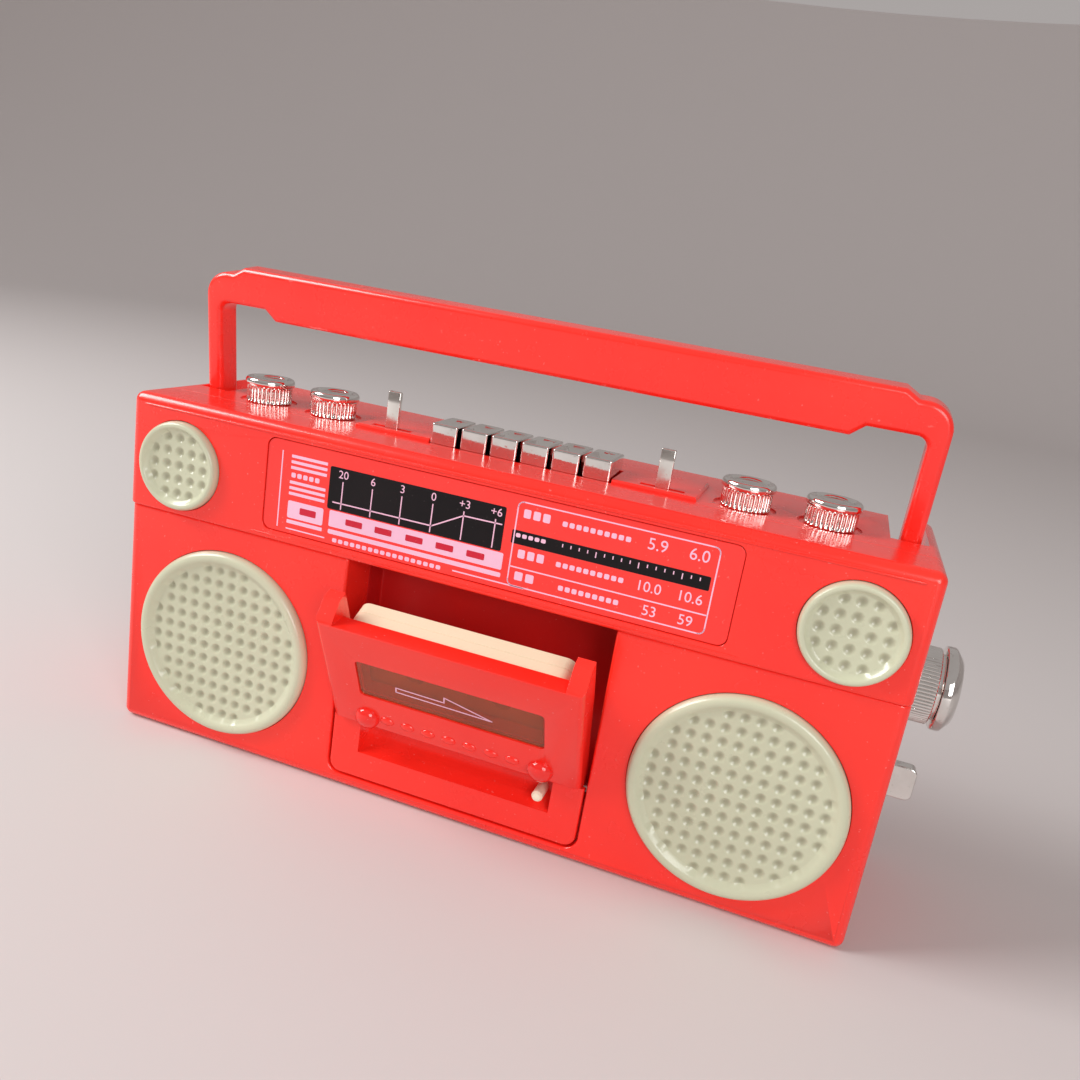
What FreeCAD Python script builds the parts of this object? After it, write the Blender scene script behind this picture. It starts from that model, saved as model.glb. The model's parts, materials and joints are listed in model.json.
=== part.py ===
import FreeCAD, Part
import Sketcher
import os

# A miniature cassette player with a fold-down handle, a tilting tape door and working controls.
# Millimetres. X runs to the right, the front faces -Y and Z points up.
# The origin is the middle of the base.

SIZES = {
    # case
    "CaseWidth": 70.0,
    "CaseDepth": 18.0,
    "DeckHeight": 32.4,
    "DeckThick": 1.6,
    "SeamHeight": 21.9,
    "ShellDepth": 4.4,
    "WallThick": 1.6,
    "EdgeRound": 0.85,
    "SeamRound": 0.25,
    "PanelProud": 0.3,
    "SlipGap": 0.05,
    # screws that hold the rear shell to the two front shells
    "PostX": 31.0,
    "PostLow": 4.2,
    "PostHigh": 25.2,
    "PostRadius": 1.95,
    "ScrewRadius": 0.7,
    "ScrewHeadRadius": 1.2,
    "ScrewHeadThick": 0.8,
    "ScrewLength": 5.6,
    "ScrewSeat": -1.0,
    "PilotFloor": 0.4,
    # speaker grilles
    "GrilleSeat": 0.5,
    "GrilleProud": 0.7,
    "GrilleDish": 0.3,
    "GrilleBossRadius": 1.5,
    "WooferX": 24.1,
    "WooferZ": 10.55,
    "WooferRadius": 8.9,
    "TweeterX": 29.6,
    "TweeterZ": 26.5,
    "TweeterRadius": 4.05,
    "GrilleRim": 1.3,
    # printed scale plate
    "ScaleHalf": 20.8,
    "ScaleLow": 22.8,
    "ScaleHigh": 31.1,
    "ScaleSeat": 0.5,
    "ScaleSunk": 0.1,
    "ScaleCorner": 0.8,
    # tape bay, its well and its sill
    "BayHalf": 12.15,
    "BayLow": 1.2,
    "WellWall": 0.8,
    "WellBack": -1.8,
    "WellLow": 2.4,
    "WellHigh": 21.1,
    "SillTop": 7.2,
    "SillFront": 1.2,
    "SillDepth": 3.6,
    "SillRearTop": 6.5,
    "SillGroove": 0.2,
    "SillCorner": 1.3,
    "ScoopHalf": 9.2,
    "ScoopRadius": 3.3,
    "ScoopAhead": 0.8,
    "EarPocketLow": 5.7,
    "EarPocketFront": 0.5,
    "PegX": 8.0,
    "PegZ": 5.2,
    "PegRadius": 0.5,
    "PegLength": 3.3,
    "PegRoot": 3.1,
    # tape door, drawn shut about its hinge line
    "DoorHingeDepth": 1.4,
    "DoorHingeZ": 6.6,
    "DoorOpenAngle": 26.0,
    "DoorHalf": 11.7,
    "DoorInner": 10.2,
    "DoorBottom": 8.05,
    "DoorArris": 19.9,
    "DoorPlate": 1.9,
    "DoorTopFall": 0.6,
    "CheekTop": 21.1,
    "CheekTopFront": 1.9,
    "CheekDepth": 2.9,
    "CheekWaistDepth": 2.4,
    "CheekWaistZ": 12.6,
    "EarRadius": 0.75,
    "DoorRound": 0.5,
    "PinRadius": 0.45,
    "PinInner": 10.3,
    "PinOuter": 13.2,
    "WindowHalf": 8.5,
    "WindowLow": 12.1,
    "WindowHigh": 16.4,
    "WindowRebate": 0.3,
    "PaneSunk": 0.15,
    "PaneThick": 0.6,
    "WindowCorner": 0.4,
    "LedgeLow": 7.55,
    "LedgeHigh": 8.2,
    "LipHigh": 10.5,
    "LipThick": 0.6,
    "BossX": 8.15,
    "BossZ": 9.15,
    "BossRadius": 1.05,
    "BossHeight": 0.8,
    "BossStem": 0.5,
    "BossDepth": 1.0,
    # cassette
    "TapeHalf": 9.85,
    "TapeTop": 18.95,
    "TapeThick": 2.3,
    "TapeGap": 0.2,
    "TapeCorner": 1.0,
    "TapeWall": 0.45,
    "HubX": 4.0,
    "HubZ": 14.2,
    "HubRadius": 1.3,
    "HubBore": 0.6,
    "HubWindow": 0.9,
    # piano keys
    "KeyCount": 6,
    "KeyPitch": 2.8,
    "KeyWidth": 2.45,
    "KeyFront": -3.8,
    "KeyBack": 0.6,
    "KeyTop": 34.2,
    "KeyRound": 0.35,
    "KeyFlange": 0.35,
    "KeyFlangeThick": 1.0,
    "KeyStemRadius": 0.45,
    "KeyStemEnd": 26.0,
    "KeyWindowGap": 0.15,
    "GuideLow": 26.6,
    "GuideThick": 0.8,
    "GuideHalf": 10.0,
    "SpringRadius": 0.75,
    "SpringWire": 0.13,
    "SpringTurns": 4,
    # lever sliders
    "LeverX": 12.5,
    "LeverWidth": 1.2,
    "LeverThick": 0.5,
    "LeverFront": -2.9,
    "LeverTop": 36.0,
    "LeverTravel": 1.2,
    "LeverFoot": 0.75,
    "PlateauHalf": 15.6,
    "PlateauFront": -3.7,
    "PlateauBack": 3.6,
    "PlateauRise": 0.3,
    "RailThick": 0.45,
    # deck knobs
    "KnobOuterX": 26.2,
    "KnobInnerX": 19.3,
    "KnobY": -1.2,
    "KnobRadius": 2.25,
    "KnobBodyRadius": 2.1,
    "KnobTop": 34.6,
    "KnobRim": 0.6,
    "KnobShaft": 0.7,
    "KnobDish": 2.6,
    "DishDepth": 0.15,
    "BarbRadius": 1.0,
    "BarbLength": 1.6,
    # tuning knob and slide tab on the right end
    "TuneY": -0.5,
    "TuneZ": 21.0,
    "TuneBarrel": 3.2,
    "TuneRim": 3.5,
    "TuneFace": 2.6,
    "TuneRimStart": 2.6,
    "TuneReach": 3.9,
    "TuneShaft": 1.0,
    "TuneBarb": 1.35,
    "TabZ": 11.9,
    "TabHeight": 3.0,
    "TabThick": 1.2,
    "TabReach": 3.0,
    "TabRound": 0.6,
    "TabTravel": 1.2,
    # handle
    "PivotY": 0.8,
    "PivotZ": 30.6,
    "PivotPin": 0.6,
    "HandleLean": 7.0,
    "LegOuter": 33.4,
    "LegInner": 31.8,
    "HandleDepth": 2.8,
    "HandleEndTop": 43.75,
    "HandleEndUnder": 40.95,
    "GripTopHalf": 29.35,
    "GripUnderHalf": 26.0,
    "GripTop": 44.4,
    "GripUnder": 40.0,
    "GripSlope": 1.1,
    "HandleCorner": 2.3,
    "HandleInnerCorner": 0.9,
    "HandleRound": 0.5,
    "SlotInner": 31.0,
    "SlotOuter": 34.0,
    "SlotFloor": 29.0,
    "SlotGap": 0.2,
    "BlockInner": 29.4,
    "BlockLow": 27.4,
    # magnets in the back
    "MagnetRadius": 5.0,
    "MagnetThick": 1.0,
    "MagnetX": 16.0,
    "MagnetZ": 16.0,
}

doc = FreeCAD.newDocument("CassettePlayer")
sheet = doc.addObject("Spreadsheet::Sheet", "Sizes")
for row, (alias, number) in enumerate(SIZES.items(), start=1):
    sheet.set(f"A{row}", alias)
    sheet.set(f"B{row}", str(number))
    sheet.setAlias(f"B{row}", alias)
doc.recompute()


class Size:
    """A length with its value in millimetres and the sheet formula that it comes from."""

    def __init__(self, value, text):
        self.value = value
        self.text = text

    def __add__(self, other):
        other = as_size(other)
        return Size(self.value + other.value, f"({self.text} + {other.text})")

    def __radd__(self, other):
        return as_size(other) + self

    def __sub__(self, other):
        other = as_size(other)
        return Size(self.value - other.value, f"({self.text} - {other.text})")

    def __rsub__(self, other):
        return as_size(other) - self

    def __mul__(self, other):
        other = as_size(other)
        return Size(self.value * other.value, f"({self.text} * {other.text})")

    __rmul__ = __mul__

    def __truediv__(self, other):
        other = as_size(other)
        return Size(self.value / other.value, f"({self.text} / {other.text})")

    def __neg__(self):
        return Size(-self.value, f"(0 - {self.text})")


def as_size(number):
    if isinstance(number, Size):
        return number
    return Size(float(number), str(number))


class Sheet:
    """The sheet's values by name, such as d.CaseWidth."""

    def __getattr__(self, alias):
        return Size(float(sheet.get(alias)), f"Sizes.{alias}")


d = Sheet()
front = -d.CaseDepth / 2
rear = d.CaseDepth / 2
split = front + d.ShellDepth
panel_face = front - d.PanelProud
deck_under = d.DeckHeight - d.DeckThick
half_width = d.CaseWidth / 2
side_inner = half_width - d.WallThick
sides = (-1, 1)
posts_low = [(side * d.PostX, d.PostLow) for side in sides]
posts_high = [(side * d.PostX, d.PostHigh) for side in sides]
hinge_y = front + d.DoorHingeDepth
subparts = {}


def bind(thing, prop, size):
    thing.setExpression(prop, as_size(size).text)


# --- sketch shapes: each returns a function that draws itself, fully constrained, in a sketch ---


def locate(sketch, curve, end, x, y):
    """Holds one point of a curve at x, y, both bound to the sheet."""
    for kind, size, axis in (("DistanceX", as_size(x), -2), ("DistanceY", as_size(y), -1)):
        if abs(size.value) < 1e-9:
            sketch.addConstraint(Sketcher.Constraint("PointOnObject", curve, end, axis))
        else:
            at = sketch.addConstraint(Sketcher.Constraint(kind, -1, 1, curve, end, size.value))
            bind(sketch, f"Constraints[{at}]", size)


def outline(*points):
    def draw(sketch):
        corners = [FreeCAD.Vector(as_size(x).value, as_size(y).value, 0) for x, y in points]
        count = len(corners)
        first = sketch.GeometryCount
        for i in range(count):
            sketch.addGeometry(Part.LineSegment(corners[i], corners[(i + 1) % count]), False)
        for i in range(count):
            follower = first + (i + 1) % count
            sketch.addConstraint(Sketcher.Constraint("Coincident", first + i, 2, follower, 1))
        for i, (x, y) in enumerate(points):
            locate(sketch, first + i, 1, x, y)
    return draw


def rect(x_low, x_high, y_low, y_high):
    return outline((x_low, y_low), (x_high, y_low), (x_high, y_high), (x_low, y_high))


def disc(x, y, radius):
    def draw(sketch):
        centre = FreeCAD.Vector(as_size(x).value, as_size(y).value, 0)
        value = as_size(radius).value
        curve = sketch.addGeometry(Part.Circle(centre, FreeCAD.Vector(0, 0, 1), value), False)
        locate(sketch, curve, 3, x, y)
        at = sketch.addConstraint(Sketcher.Constraint("Radius", curve, value))
        bind(sketch, f"Constraints[{at}]", radius)
    return draw


class Piece:
    """One sub-part as a PartDesign body, built up by pads and pockets between two places on an axis."""

    def __init__(self, name):
        self.name = name
        self.body = doc.addObject("PartDesign::Body", name)
        self.body.Label = name
        subparts[name] = self.body

    def sketch(self, plane, at, shapes):
        sketch = self.body.newObject("Sketcher::SketchObject", self.name + "_sketch")
        support = [f for f in self.body.Origin.OriginFeatures if f.Role == plane + "_Plane"]
        sketch.AttachmentSupport = [(support[0], "")]
        sketch.MapMode = "FlatFace"
        # the XZ plane's own normal points along -Y
        bind(sketch, "AttachmentOffset.Base.z", -at if plane == "XZ" else at)
        for draw in shapes:
            draw(sketch)
        return sketch

    def span(self, kind, plane, low, high, shapes):
        low, high = as_size(low), as_size(high)
        # a pad grows along the plane's normal and a pocket cuts against it
        from_low = (plane != "XZ") == (kind == "Pad")
        sketch = self.sketch(plane, low if from_low else high, shapes)
        feature = self.body.newObject("PartDesign::" + kind, self.name + "_" + kind.lower())
        feature.Profile = sketch
        bind(feature, "Length", high - low)
        return self

    def pad(self, plane, low, high, *shapes):
        return self.span("Pad", plane, low, high, shapes)

    def pocket(self, plane, low, high, *shapes):
        return self.span("Pocket", plane, low, high, shapes)

    def turn(self, *points):
        """A solid of revolution about the body's own Z, from points of radius and height."""
        sketch = self.sketch("XZ", as_size(0), [outline(*points)])
        feature = self.body.newObject("PartDesign::Revolution", self.name + "_turned")
        feature.Profile = sketch
        feature.ReferenceAxis = (sketch, ["V_Axis"])
        feature.Angle = 360
        return self

    def edge_names(self, wanted):
        doc.recompute()
        edges = self.body.Tip.Shape.Edges
        names = [f"Edge{i}" for i, edge in enumerate(edges, start=1) if wanted(edge)]
        if not names:
            raise ValueError(f"{self.name}: no edge found to round")
        return names

    def dress(self, kind, prop, size, wanted):
        names = self.edge_names(wanted)
        tip = self.body.Tip
        feature = self.body.newObject("PartDesign::" + kind, self.name + "_" + kind.lower())
        feature.Base = (tip, names)
        bind(feature, prop, size)
        return self

    def round(self, radius, wanted):
        return self.dress("Fillet", "Radius", radius, wanted)

    def bevel(self, size, wanted):
        return self.dress("Chamfer", "Size", size, wanted)

    def put(self, x=0, y=0, z=0, axis=(0, 0, 1), angle=0):
        return place(self.body, x, y, z, axis, angle)


def place(thing, x=0, y=0, z=0, axis=(0, 0, 1), angle=0):
    turned = FreeCAD.Rotation(FreeCAD.Vector(*axis), as_size(angle).value)
    thing.Placement = FreeCAD.Placement(FreeCAD.Vector(), turned)
    for letter, size in zip("xyz", (x, y, z)):
        bind(thing, f"Placement.Base.{letter}", size)
    return thing


def lies(edge, **at):
    """True where the whole edge lies at the given places, such as x=35, z=0."""
    box = edge.BoundBox
    for axis, size in at.items():
        for end in ("Min", "Max"):
            if abs(getattr(box, axis.upper() + end) - as_size(size).value) > 0.01:
                return False
    return True


def lies_on_one(edge, *places):
    return any(lies(edge, **at) for at in places)


FACING = {
    "front": ((1, 0, 0), 90),   # a body's own Z then points along -Y
    "back": ((1, 0, 0), -90),
    "right": ((0, 1, 0), 90),
    "up": ((0, 0, 1), 0),
}


def cylinder(name, radius, length, x, y, z, facing):
    """A plain rod that starts at x, y, z and runs the way that it faces."""
    rod = doc.addObject("Part::Cylinder", name)
    bind(rod, "Radius", radius)
    bind(rod, "Height", length)
    axis, angle = FACING[facing]
    return place(rod, x, y, z, axis, angle)


def group(name, members):
    """Identical loose pieces that share one node."""
    compound = doc.addObject("Part::Compound", name)
    compound.Links = members
    compound.Label = name
    subparts[name] = compound
    return compound


# --- case ---


def lower_front():
    piece = Piece("lower_front")
    inner = front + d.WallThick
    cavity_in = d.BayHalf + d.WallThick
    cavity_top = d.SeamHeight - d.WallThick
    piece.pad("XZ", front, split, rect(-half_width, half_width, 0, d.SeamHeight))
    piece.round(d.EdgeRound, lambda e: lies_on_one(
        e, {"x": half_width, "y": front}, {"x": -half_width, "y": front}, {"y": front, "z": 0},
        {"x": half_width, "z": 0}, {"x": -half_width, "z": 0}))
    piece.round(d.SeamRound, lambda e: lies(e, y=front, z=d.SeamHeight))
    piece.pocket("XZ", front, split, rect(-d.BayHalf, d.BayHalf, d.BayLow, d.SeamHeight))
    piece.round(d.SillCorner, lambda e: lies_on_one(
        e, {"x": d.BayHalf, "z": d.BayLow}, {"x": -d.BayHalf, "z": d.BayLow}))
    piece.round(d.SeamRound, lambda e: lies_on_one(
        e, {"x": d.BayHalf, "y": front}, {"x": -d.BayHalf, "y": front}, {"y": front, "z": d.BayLow}))
    piece.pocket("XZ", inner, split, rect(cavity_in, side_inner, d.WallThick, cavity_top),
                 rect(-side_inner, -cavity_in, d.WallThick, cavity_top))
    piece.pad("XZ", inner, split, *[disc(x, z, d.PostRadius) for x, z in posts_low])
    piece.pocket("XZ", inner + d.PilotFloor, split,
                 *[disc(x, z, d.ScrewRadius + d.SlipGap) for x, z in posts_low])
    woofers = [(side * d.WooferX, d.WooferZ) for side in sides]
    piece.pocket("XZ", front, front + d.GrilleSeat,
                 *[disc(x, z, d.WooferRadius + d.SlipGap) for x, z in woofers])
    piece.pocket("XZ", front + d.GrilleSeat, inner,
                 *[disc(x, z, d.GrilleBossRadius + d.SlipGap) for x, z in woofers])
    for low, high in ((d.BayHalf, d.PinOuter), (-d.PinOuter, -d.BayHalf)):
        piece.pocket("YZ", low, high, disc(hinge_y, d.DoorHingeZ, d.PinRadius))


def control_panel():
    piece = Piece("control_panel")
    inner = panel_face + d.WallThick
    piece.pad("XZ", panel_face, split, rect(-half_width, half_width, d.SeamHeight, d.DeckHeight))
    piece.round(d.EdgeRound, lambda e: lies_on_one(
        e, {"x": half_width, "y": panel_face}, {"x": -half_width, "y": panel_face},
        {"y": panel_face, "z": d.DeckHeight},
        {"x": half_width, "z": d.DeckHeight}, {"x": -half_width, "z": d.DeckHeight}))
    piece.round(d.SeamRound, lambda e: lies(e, y=panel_face, z=d.SeamHeight))
    piece.pocket("XZ", inner, split, rect(-side_inner, side_inner, d.SeamHeight + d.WallThick,
                                          d.DeckHeight - d.WallThick))
    piece.pad("XZ", inner, split, *[disc(x, z, d.PostRadius) for x, z in posts_high])
    piece.pocket("XZ", inner + d.PilotFloor, split,
                 *[disc(x, z, d.ScrewRadius + d.SlipGap) for x, z in posts_high])
    tweeters = [(side * d.TweeterX, d.TweeterZ) for side in sides]
    piece.pocket("XZ", panel_face, panel_face + d.GrilleSeat,
                 *[disc(x, z, d.TweeterRadius + d.SlipGap) for x, z in tweeters])
    piece.pocket("XZ", panel_face + d.GrilleSeat, inner,
                 *[disc(x, z, d.GrilleBossRadius + d.SlipGap) for x, z in tweeters])
    piece.pocket("XZ", panel_face, panel_face + d.ScaleSeat,
                 rect(-d.ScaleHalf, d.ScaleHalf, d.ScaleLow, d.ScaleHigh))
    piece.round(d.ScaleCorner, lambda e: lies_on_one(
        e, *[{"x": side * d.ScaleHalf, "z": z} for side in sides for z in (d.ScaleLow, d.ScaleHigh)]))


def scale_plate():
    """The plate that carries the printed scales, in its seat on the control panel."""
    piece = Piece("scale_plate")
    half = d.ScaleHalf - d.SlipGap
    low, high = d.ScaleLow + d.SlipGap, d.ScaleHigh - d.SlipGap
    piece.pad("XZ", panel_face + d.ScaleSunk, panel_face + d.ScaleSeat, rect(-half, half, low, high))
    piece.round(d.ScaleCorner, lambda e: lies_on_one(
        e, *[{"x": side * half, "z": z} for side in sides for z in (low, high)]))


def rear_shell():
    piece = Piece("rear_shell")
    inner = rear - d.WallThick
    piece.pad("XZ", split, rear, rect(-half_width, half_width, 0, deck_under))
    piece.round(d.EdgeRound, lambda e: lies_on_one(
        e, {"x": half_width, "y": rear}, {"x": -half_width, "y": rear}, {"y": rear, "z": 0},
        {"x": half_width, "z": 0}, {"x": -half_width, "z": 0}))
    piece.pocket("XZ", split, inner, rect(-side_inner, side_inner, d.WallThick, d.BlockLow))
    piece.pocket("XZ", split, inner, rect(-d.BlockInner, d.BlockInner, d.BlockLow, deck_under))
    posts = posts_low + posts_high
    piece.pad("XZ", split, inner, *[disc(x, z, d.PostRadius) for x, z in posts])
    piece.pocket("XZ", d.ScrewSeat, rear,
                 *[disc(x, z, d.ScrewHeadRadius + d.SlipGap) for x, z in posts])
    piece.pocket("XZ", split, d.ScrewSeat, *[disc(x, z, d.ScrewRadius + d.SlipGap) for x, z in posts])
    piece.pocket("XZ", rear - d.MagnetThick, rear,
                 *[disc(side * d.MagnetX, d.MagnetZ, d.MagnetRadius + d.SlipGap) for side in sides])
    slot_front = d.PivotY - d.HandleDepth / 2 - 2 * d.SlotGap
    piece.pocket("XY", d.SlotFloor, deck_under, rect(d.SlotInner, d.SlotOuter, slot_front, rear),
                 rect(-d.SlotOuter, -d.SlotInner, slot_front, rear))
    bore_pins(piece)
    piece.pocket("YZ", side_inner, half_width, disc(d.TuneY, d.TuneZ, d.TuneShaft + d.SlipGap),
                 rect(-tab_slot_half(), tab_slot_half(), d.TabZ - d.TabHeight / 2 - d.SlipGap,
                      d.TabZ + d.TabHeight / 2 + d.SlipGap))


def tab_slot_half():
    return d.TabThick / 2 + d.TabTravel + 2 * d.SlipGap


def bore_pins(piece):
    """The handle's pins lie half in the rear shell and half in the deck."""
    for inner, outer in ((pin_start(), pin_end()), (-pin_end(), -pin_start())):
        piece.pocket("YZ", inner, outer, disc(d.PivotY, d.PivotZ, d.PivotPin))


def pin_start():
    return d.BlockInner + d.PivotPin


def pin_end():
    return d.SlotOuter + d.PivotPin


def top_deck():
    piece = Piece("top_deck")
    plateau = d.DeckHeight + d.PlateauRise
    piece.pad("XY", deck_under, d.DeckHeight, rect(-half_width, half_width, split, rear))
    piece.round(d.EdgeRound, lambda e: lies_on_one(
        e, {"x": half_width, "y": rear}, {"x": -half_width, "y": rear}, {"y": rear, "z": d.DeckHeight},
        {"x": half_width, "z": d.DeckHeight}, {"x": -half_width, "z": d.DeckHeight}))
    piece.pad("XY", d.DeckHeight, plateau,
              rect(-d.PlateauHalf, d.PlateauHalf, d.PlateauFront, d.PlateauBack))
    piece.round(d.SeamRound, lambda e: lies(e, z=plateau))
    slot_front = d.PivotY - d.HandleDepth / 2 - 2 * d.SlotGap
    piece.pocket("XY", deck_under, d.DeckHeight, rect(d.SlotInner, d.SlotOuter, slot_front, rear),
                 rect(-d.SlotOuter, -d.SlotInner, slot_front, rear))
    window_half = d.KeyPitch * (d.KeyCount - 1) / 2 + d.KeyWidth / 2 + d.KeyWindowGap
    piece.pocket("XY", deck_under, plateau, rect(-window_half, window_half, d.KeyFront - d.KeyWindowGap,
                                                 d.KeyBack + d.KeyWindowGap))
    slot_half = d.LeverWidth / 2 + d.LeverTravel + 2 * d.SlipGap
    slot_low = d.LeverFront - 2 * d.SlipGap
    slot_high = d.LeverFront + d.LeverThick + 2 * d.SlipGap
    piece.pocket("XY", deck_under, plateau,
                 *[rect(side * d.LeverX - slot_half, side * d.LeverX + slot_half, slot_low, slot_high)
                   for side in sides])
    knobs = knob_places()
    piece.pocket("XY", d.DeckHeight - d.DishDepth, d.DeckHeight,
                 *[disc(x, d.KnobY, d.KnobDish) for x in knobs])
    piece.pocket("XY", deck_under, d.DeckHeight - d.DishDepth,
                 *[disc(x, d.KnobY, d.KnobShaft + d.SlipGap) for x in knobs])
    bore_pins(piece)


def knob_places():
    return (-d.KnobOuterX, -d.KnobInnerX, d.KnobInnerX, d.KnobOuterX)


def grille(name, x, face, z, radius):
    """A dished disc with a raised rim and a locating boss behind it."""
    piece = Piece(name)
    seat = -d.GrilleSeat
    boss_end = -d.WallThick
    field = d.GrilleProud - d.GrilleDish
    rim = radius - d.GrilleRim
    piece.turn((0, boss_end), (d.GrilleBossRadius, boss_end), (d.GrilleBossRadius, seat), (radius, seat),
               (radius, d.GrilleProud / 3), (radius - d.GrilleRim / 3, d.GrilleProud),
               (rim + d.GrilleRim / 3, d.GrilleProud), (rim, field), (0, field))
    piece.put(x, face, z, *FACING["front"])


def grilles():
    for side, word in zip(sides, ("left", "right")):
        grille(f"woofer_grille_{word}", side * d.WooferX, front, d.WooferZ, d.WooferRadius)
        grille(f"tweeter_grille_{word}", side * d.TweeterX, panel_face, d.TweeterZ, d.TweeterRadius)


def case_screws():
    screws = []
    for i, (x, z) in enumerate(posts_low + posts_high):
        head = cylinder(f"screw_head_{i}", d.ScrewHeadRadius, d.ScrewHeadThick, x, d.ScrewSeat, z, "back")
        shank = cylinder(f"screw_shank_{i}", d.ScrewRadius, d.ScrewLength, x, d.ScrewSeat, z, "front")
        screw = doc.addObject("Part::Fuse", f"screw_{i}")
        screw.Base = head
        screw.Tool = shank
        screws.append(screw)
    group("case_screws", screws)


def back_magnets():
    group("back_magnets", [
        cylinder(f"magnet_{i}", d.MagnetRadius, d.MagnetThick, side * d.MagnetX, rear, d.MagnetZ, "front")
        for i, side in enumerate(sides)])


# --- tape bay ---


def sill_panel():
    piece = Piece("sill_panel")
    face_half = d.BayHalf - d.SillGroove
    behind = front + d.SillFront
    back = front + d.SillDepth
    piece.pad("XZ", front, behind, rect(-face_half, face_half, d.BayLow + d.SillGroove, d.SillTop))
    piece.round(d.SillCorner - d.SillGroove, lambda e: lies_on_one(
        e, {"x": face_half, "z": d.BayLow + d.SillGroove}, {"x": -face_half, "z": d.BayLow + d.SillGroove}))
    piece.pad("XZ", behind, back, rect(-d.BayHalf, d.BayHalf, d.BayLow, d.SillRearTop))
    piece.round(d.SillCorner, lambda e: lies_on_one(
        e, {"x": d.BayHalf, "z": d.BayLow}, {"x": -d.BayHalf, "z": d.BayLow}))
    piece.pocket("YZ", -d.ScoopHalf, d.ScoopHalf, disc(front - d.ScoopAhead, d.SillTop, d.ScoopRadius))
    ear_in = d.DoorInner - 5 * d.SlipGap
    piece.pocket("XZ", front + d.EarPocketFront, back,
                 rect(ear_in, d.BayHalf, d.EarPocketLow, d.SillTop),
                 rect(-d.BayHalf, -ear_in, d.EarPocketLow, d.SillTop))
    piece.pocket("XZ", front, front + d.PegRoot, disc(d.PegX, d.PegZ, d.PegRadius))
    piece.round(d.SeamRound, lambda e: lies_on_one(
        e, {"x": face_half, "y": front}, {"x": -face_half, "y": front},
        {"y": front, "z": d.BayLow + d.SillGroove}))


def sill_peg():
    """A short round-nosed peg that stands out of the scoop."""
    piece = Piece("sill_peg")
    nose = d.PegRadius * 0.6
    piece.turn((0, 0), (d.PegRadius, 0), (d.PegRadius, d.PegLength - nose),
               (d.PegRadius * 0.7, d.PegLength - nose * 0.25), (0, d.PegLength))
    piece.put(d.PegX, front + d.PegRoot, d.PegZ, *FACING["front"])


def cassette_well():
    piece = Piece("cassette_well")
    outer = d.BayHalf + d.WellWall
    piece.pad("XZ", split, d.WellBack + d.WellWall,
              rect(-outer, outer, d.WallThick, d.WellHigh + d.WellWall))
    piece.pocket("XZ", split, d.WellBack, rect(-d.BayHalf, d.BayHalf, d.WellLow, d.WellHigh))


# Door pieces are drawn shut, with the hinge line as their own X axis, and then turned open.


def shut(y_behind_face=0, z=0):
    """A place on the shut door, from the case's face and base, as the door's own Y and Z."""
    return y_behind_face - d.DoorHingeDepth, z - d.DoorHingeZ


def hang(thing):
    """Puts a door piece on the hinge line, open by the rest angle."""
    place(thing, 0, hinge_y, d.DoorHingeZ, (1, 0, 0), d.DoorOpenAngle)
    bind(thing, "Placement.Rotation.Angle", d.DoorOpenAngle)


def door_frame():
    piece = Piece("door_frame")
    face, bottom = shut(0, d.DoorBottom)
    arris = shut(0, d.DoorArris)[1]
    plate_back = shut(d.DoorPlate)[0]
    cheek = outline(
        (face, bottom), (face, arris), shut(d.CheekTopFront, d.CheekTop), shut(d.CheekDepth, d.CheekTop),
        shut(d.CheekDepth, d.DoorArris - d.CheekDepth), shut(d.CheekWaistDepth, d.CheekWaistZ),
        (d.EarRadius, bottom))
    piece.pad("YZ", -d.DoorHalf, d.DoorHalf, cheek)
    piece.round(d.DoorRound, lambda e: lies_on_one(
        e, {"x": d.DoorHalf, "y": face}, {"x": -d.DoorHalf, "y": face}, {"y": face, "z": arris}))
    # between the cheeks only the plate stays, with a top face that falls towards the tape
    above = d.CheekTop
    piece.pocket("YZ", -d.DoorInner, d.DoorInner, outline(
        (face - 1, arris), (face, arris), (plate_back, arris - d.DoorTopFall), (plate_back, bottom - 1),
        (plate_back + d.CheekDepth, bottom - 1), (plate_back + d.CheekDepth, above), (face - 1, above)))
    for low, high in ((d.DoorInner, d.DoorHalf), (-d.DoorHalf, -d.DoorInner)):
        piece.pad("YZ", low, high, rect(-d.EarRadius / 3, d.EarRadius, 0, bottom + d.EarRadius))
        piece.pad("YZ", low, high, disc(0, 0, d.EarRadius))
        piece.pocket("YZ", low, high, disc(0, 0, d.PinRadius + d.SlipGap))
    # ledge and lip that carry the tape
    lip_front = plate_back + d.TapeThick + 2 * d.TapeGap
    ledge_low, ledge_high = shut(0, d.LedgeLow)[1], shut(0, d.LedgeHigh)[1]
    piece.pad("YZ", -d.DoorInner, d.DoorInner, outline(
        (plate_back - d.LipThick, ledge_low), (lip_front + d.LipThick, ledge_low),
        (lip_front + d.LipThick, shut(0, d.LipHigh)[1]), (lip_front, shut(0, d.LipHigh)[1]),
        (lip_front, ledge_high), (plate_back - d.LipThick, ledge_high)))
    # the window opens through the plate, wider in front where the pane lies against a step
    window_low, window_high = shut(0, d.WindowLow)[1], shut(0, d.WindowHigh)[1]
    step = face + d.PaneSunk + d.PaneThick
    step_half = d.WindowHalf - d.WindowRebate
    piece.pocket("XZ", face, step, rect(-d.WindowHalf, d.WindowHalf, window_low, window_high))
    piece.round(d.WindowCorner, lambda e: lies_on_one(
        e, *[{"x": side * d.WindowHalf, "z": z} for side in sides for z in (window_low, window_high)]))
    piece.pocket("XZ", step, plate_back, rect(
        -step_half, step_half, window_low + d.WindowRebate, window_high - d.WindowRebate))
    boss_z = shut(0, d.BossZ)[1]
    piece.pocket("XZ", face, face + d.BossDepth,
                 *[disc(side * d.BossX, boss_z, d.BossStem) for side in sides])
    hang(piece.body)


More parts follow.
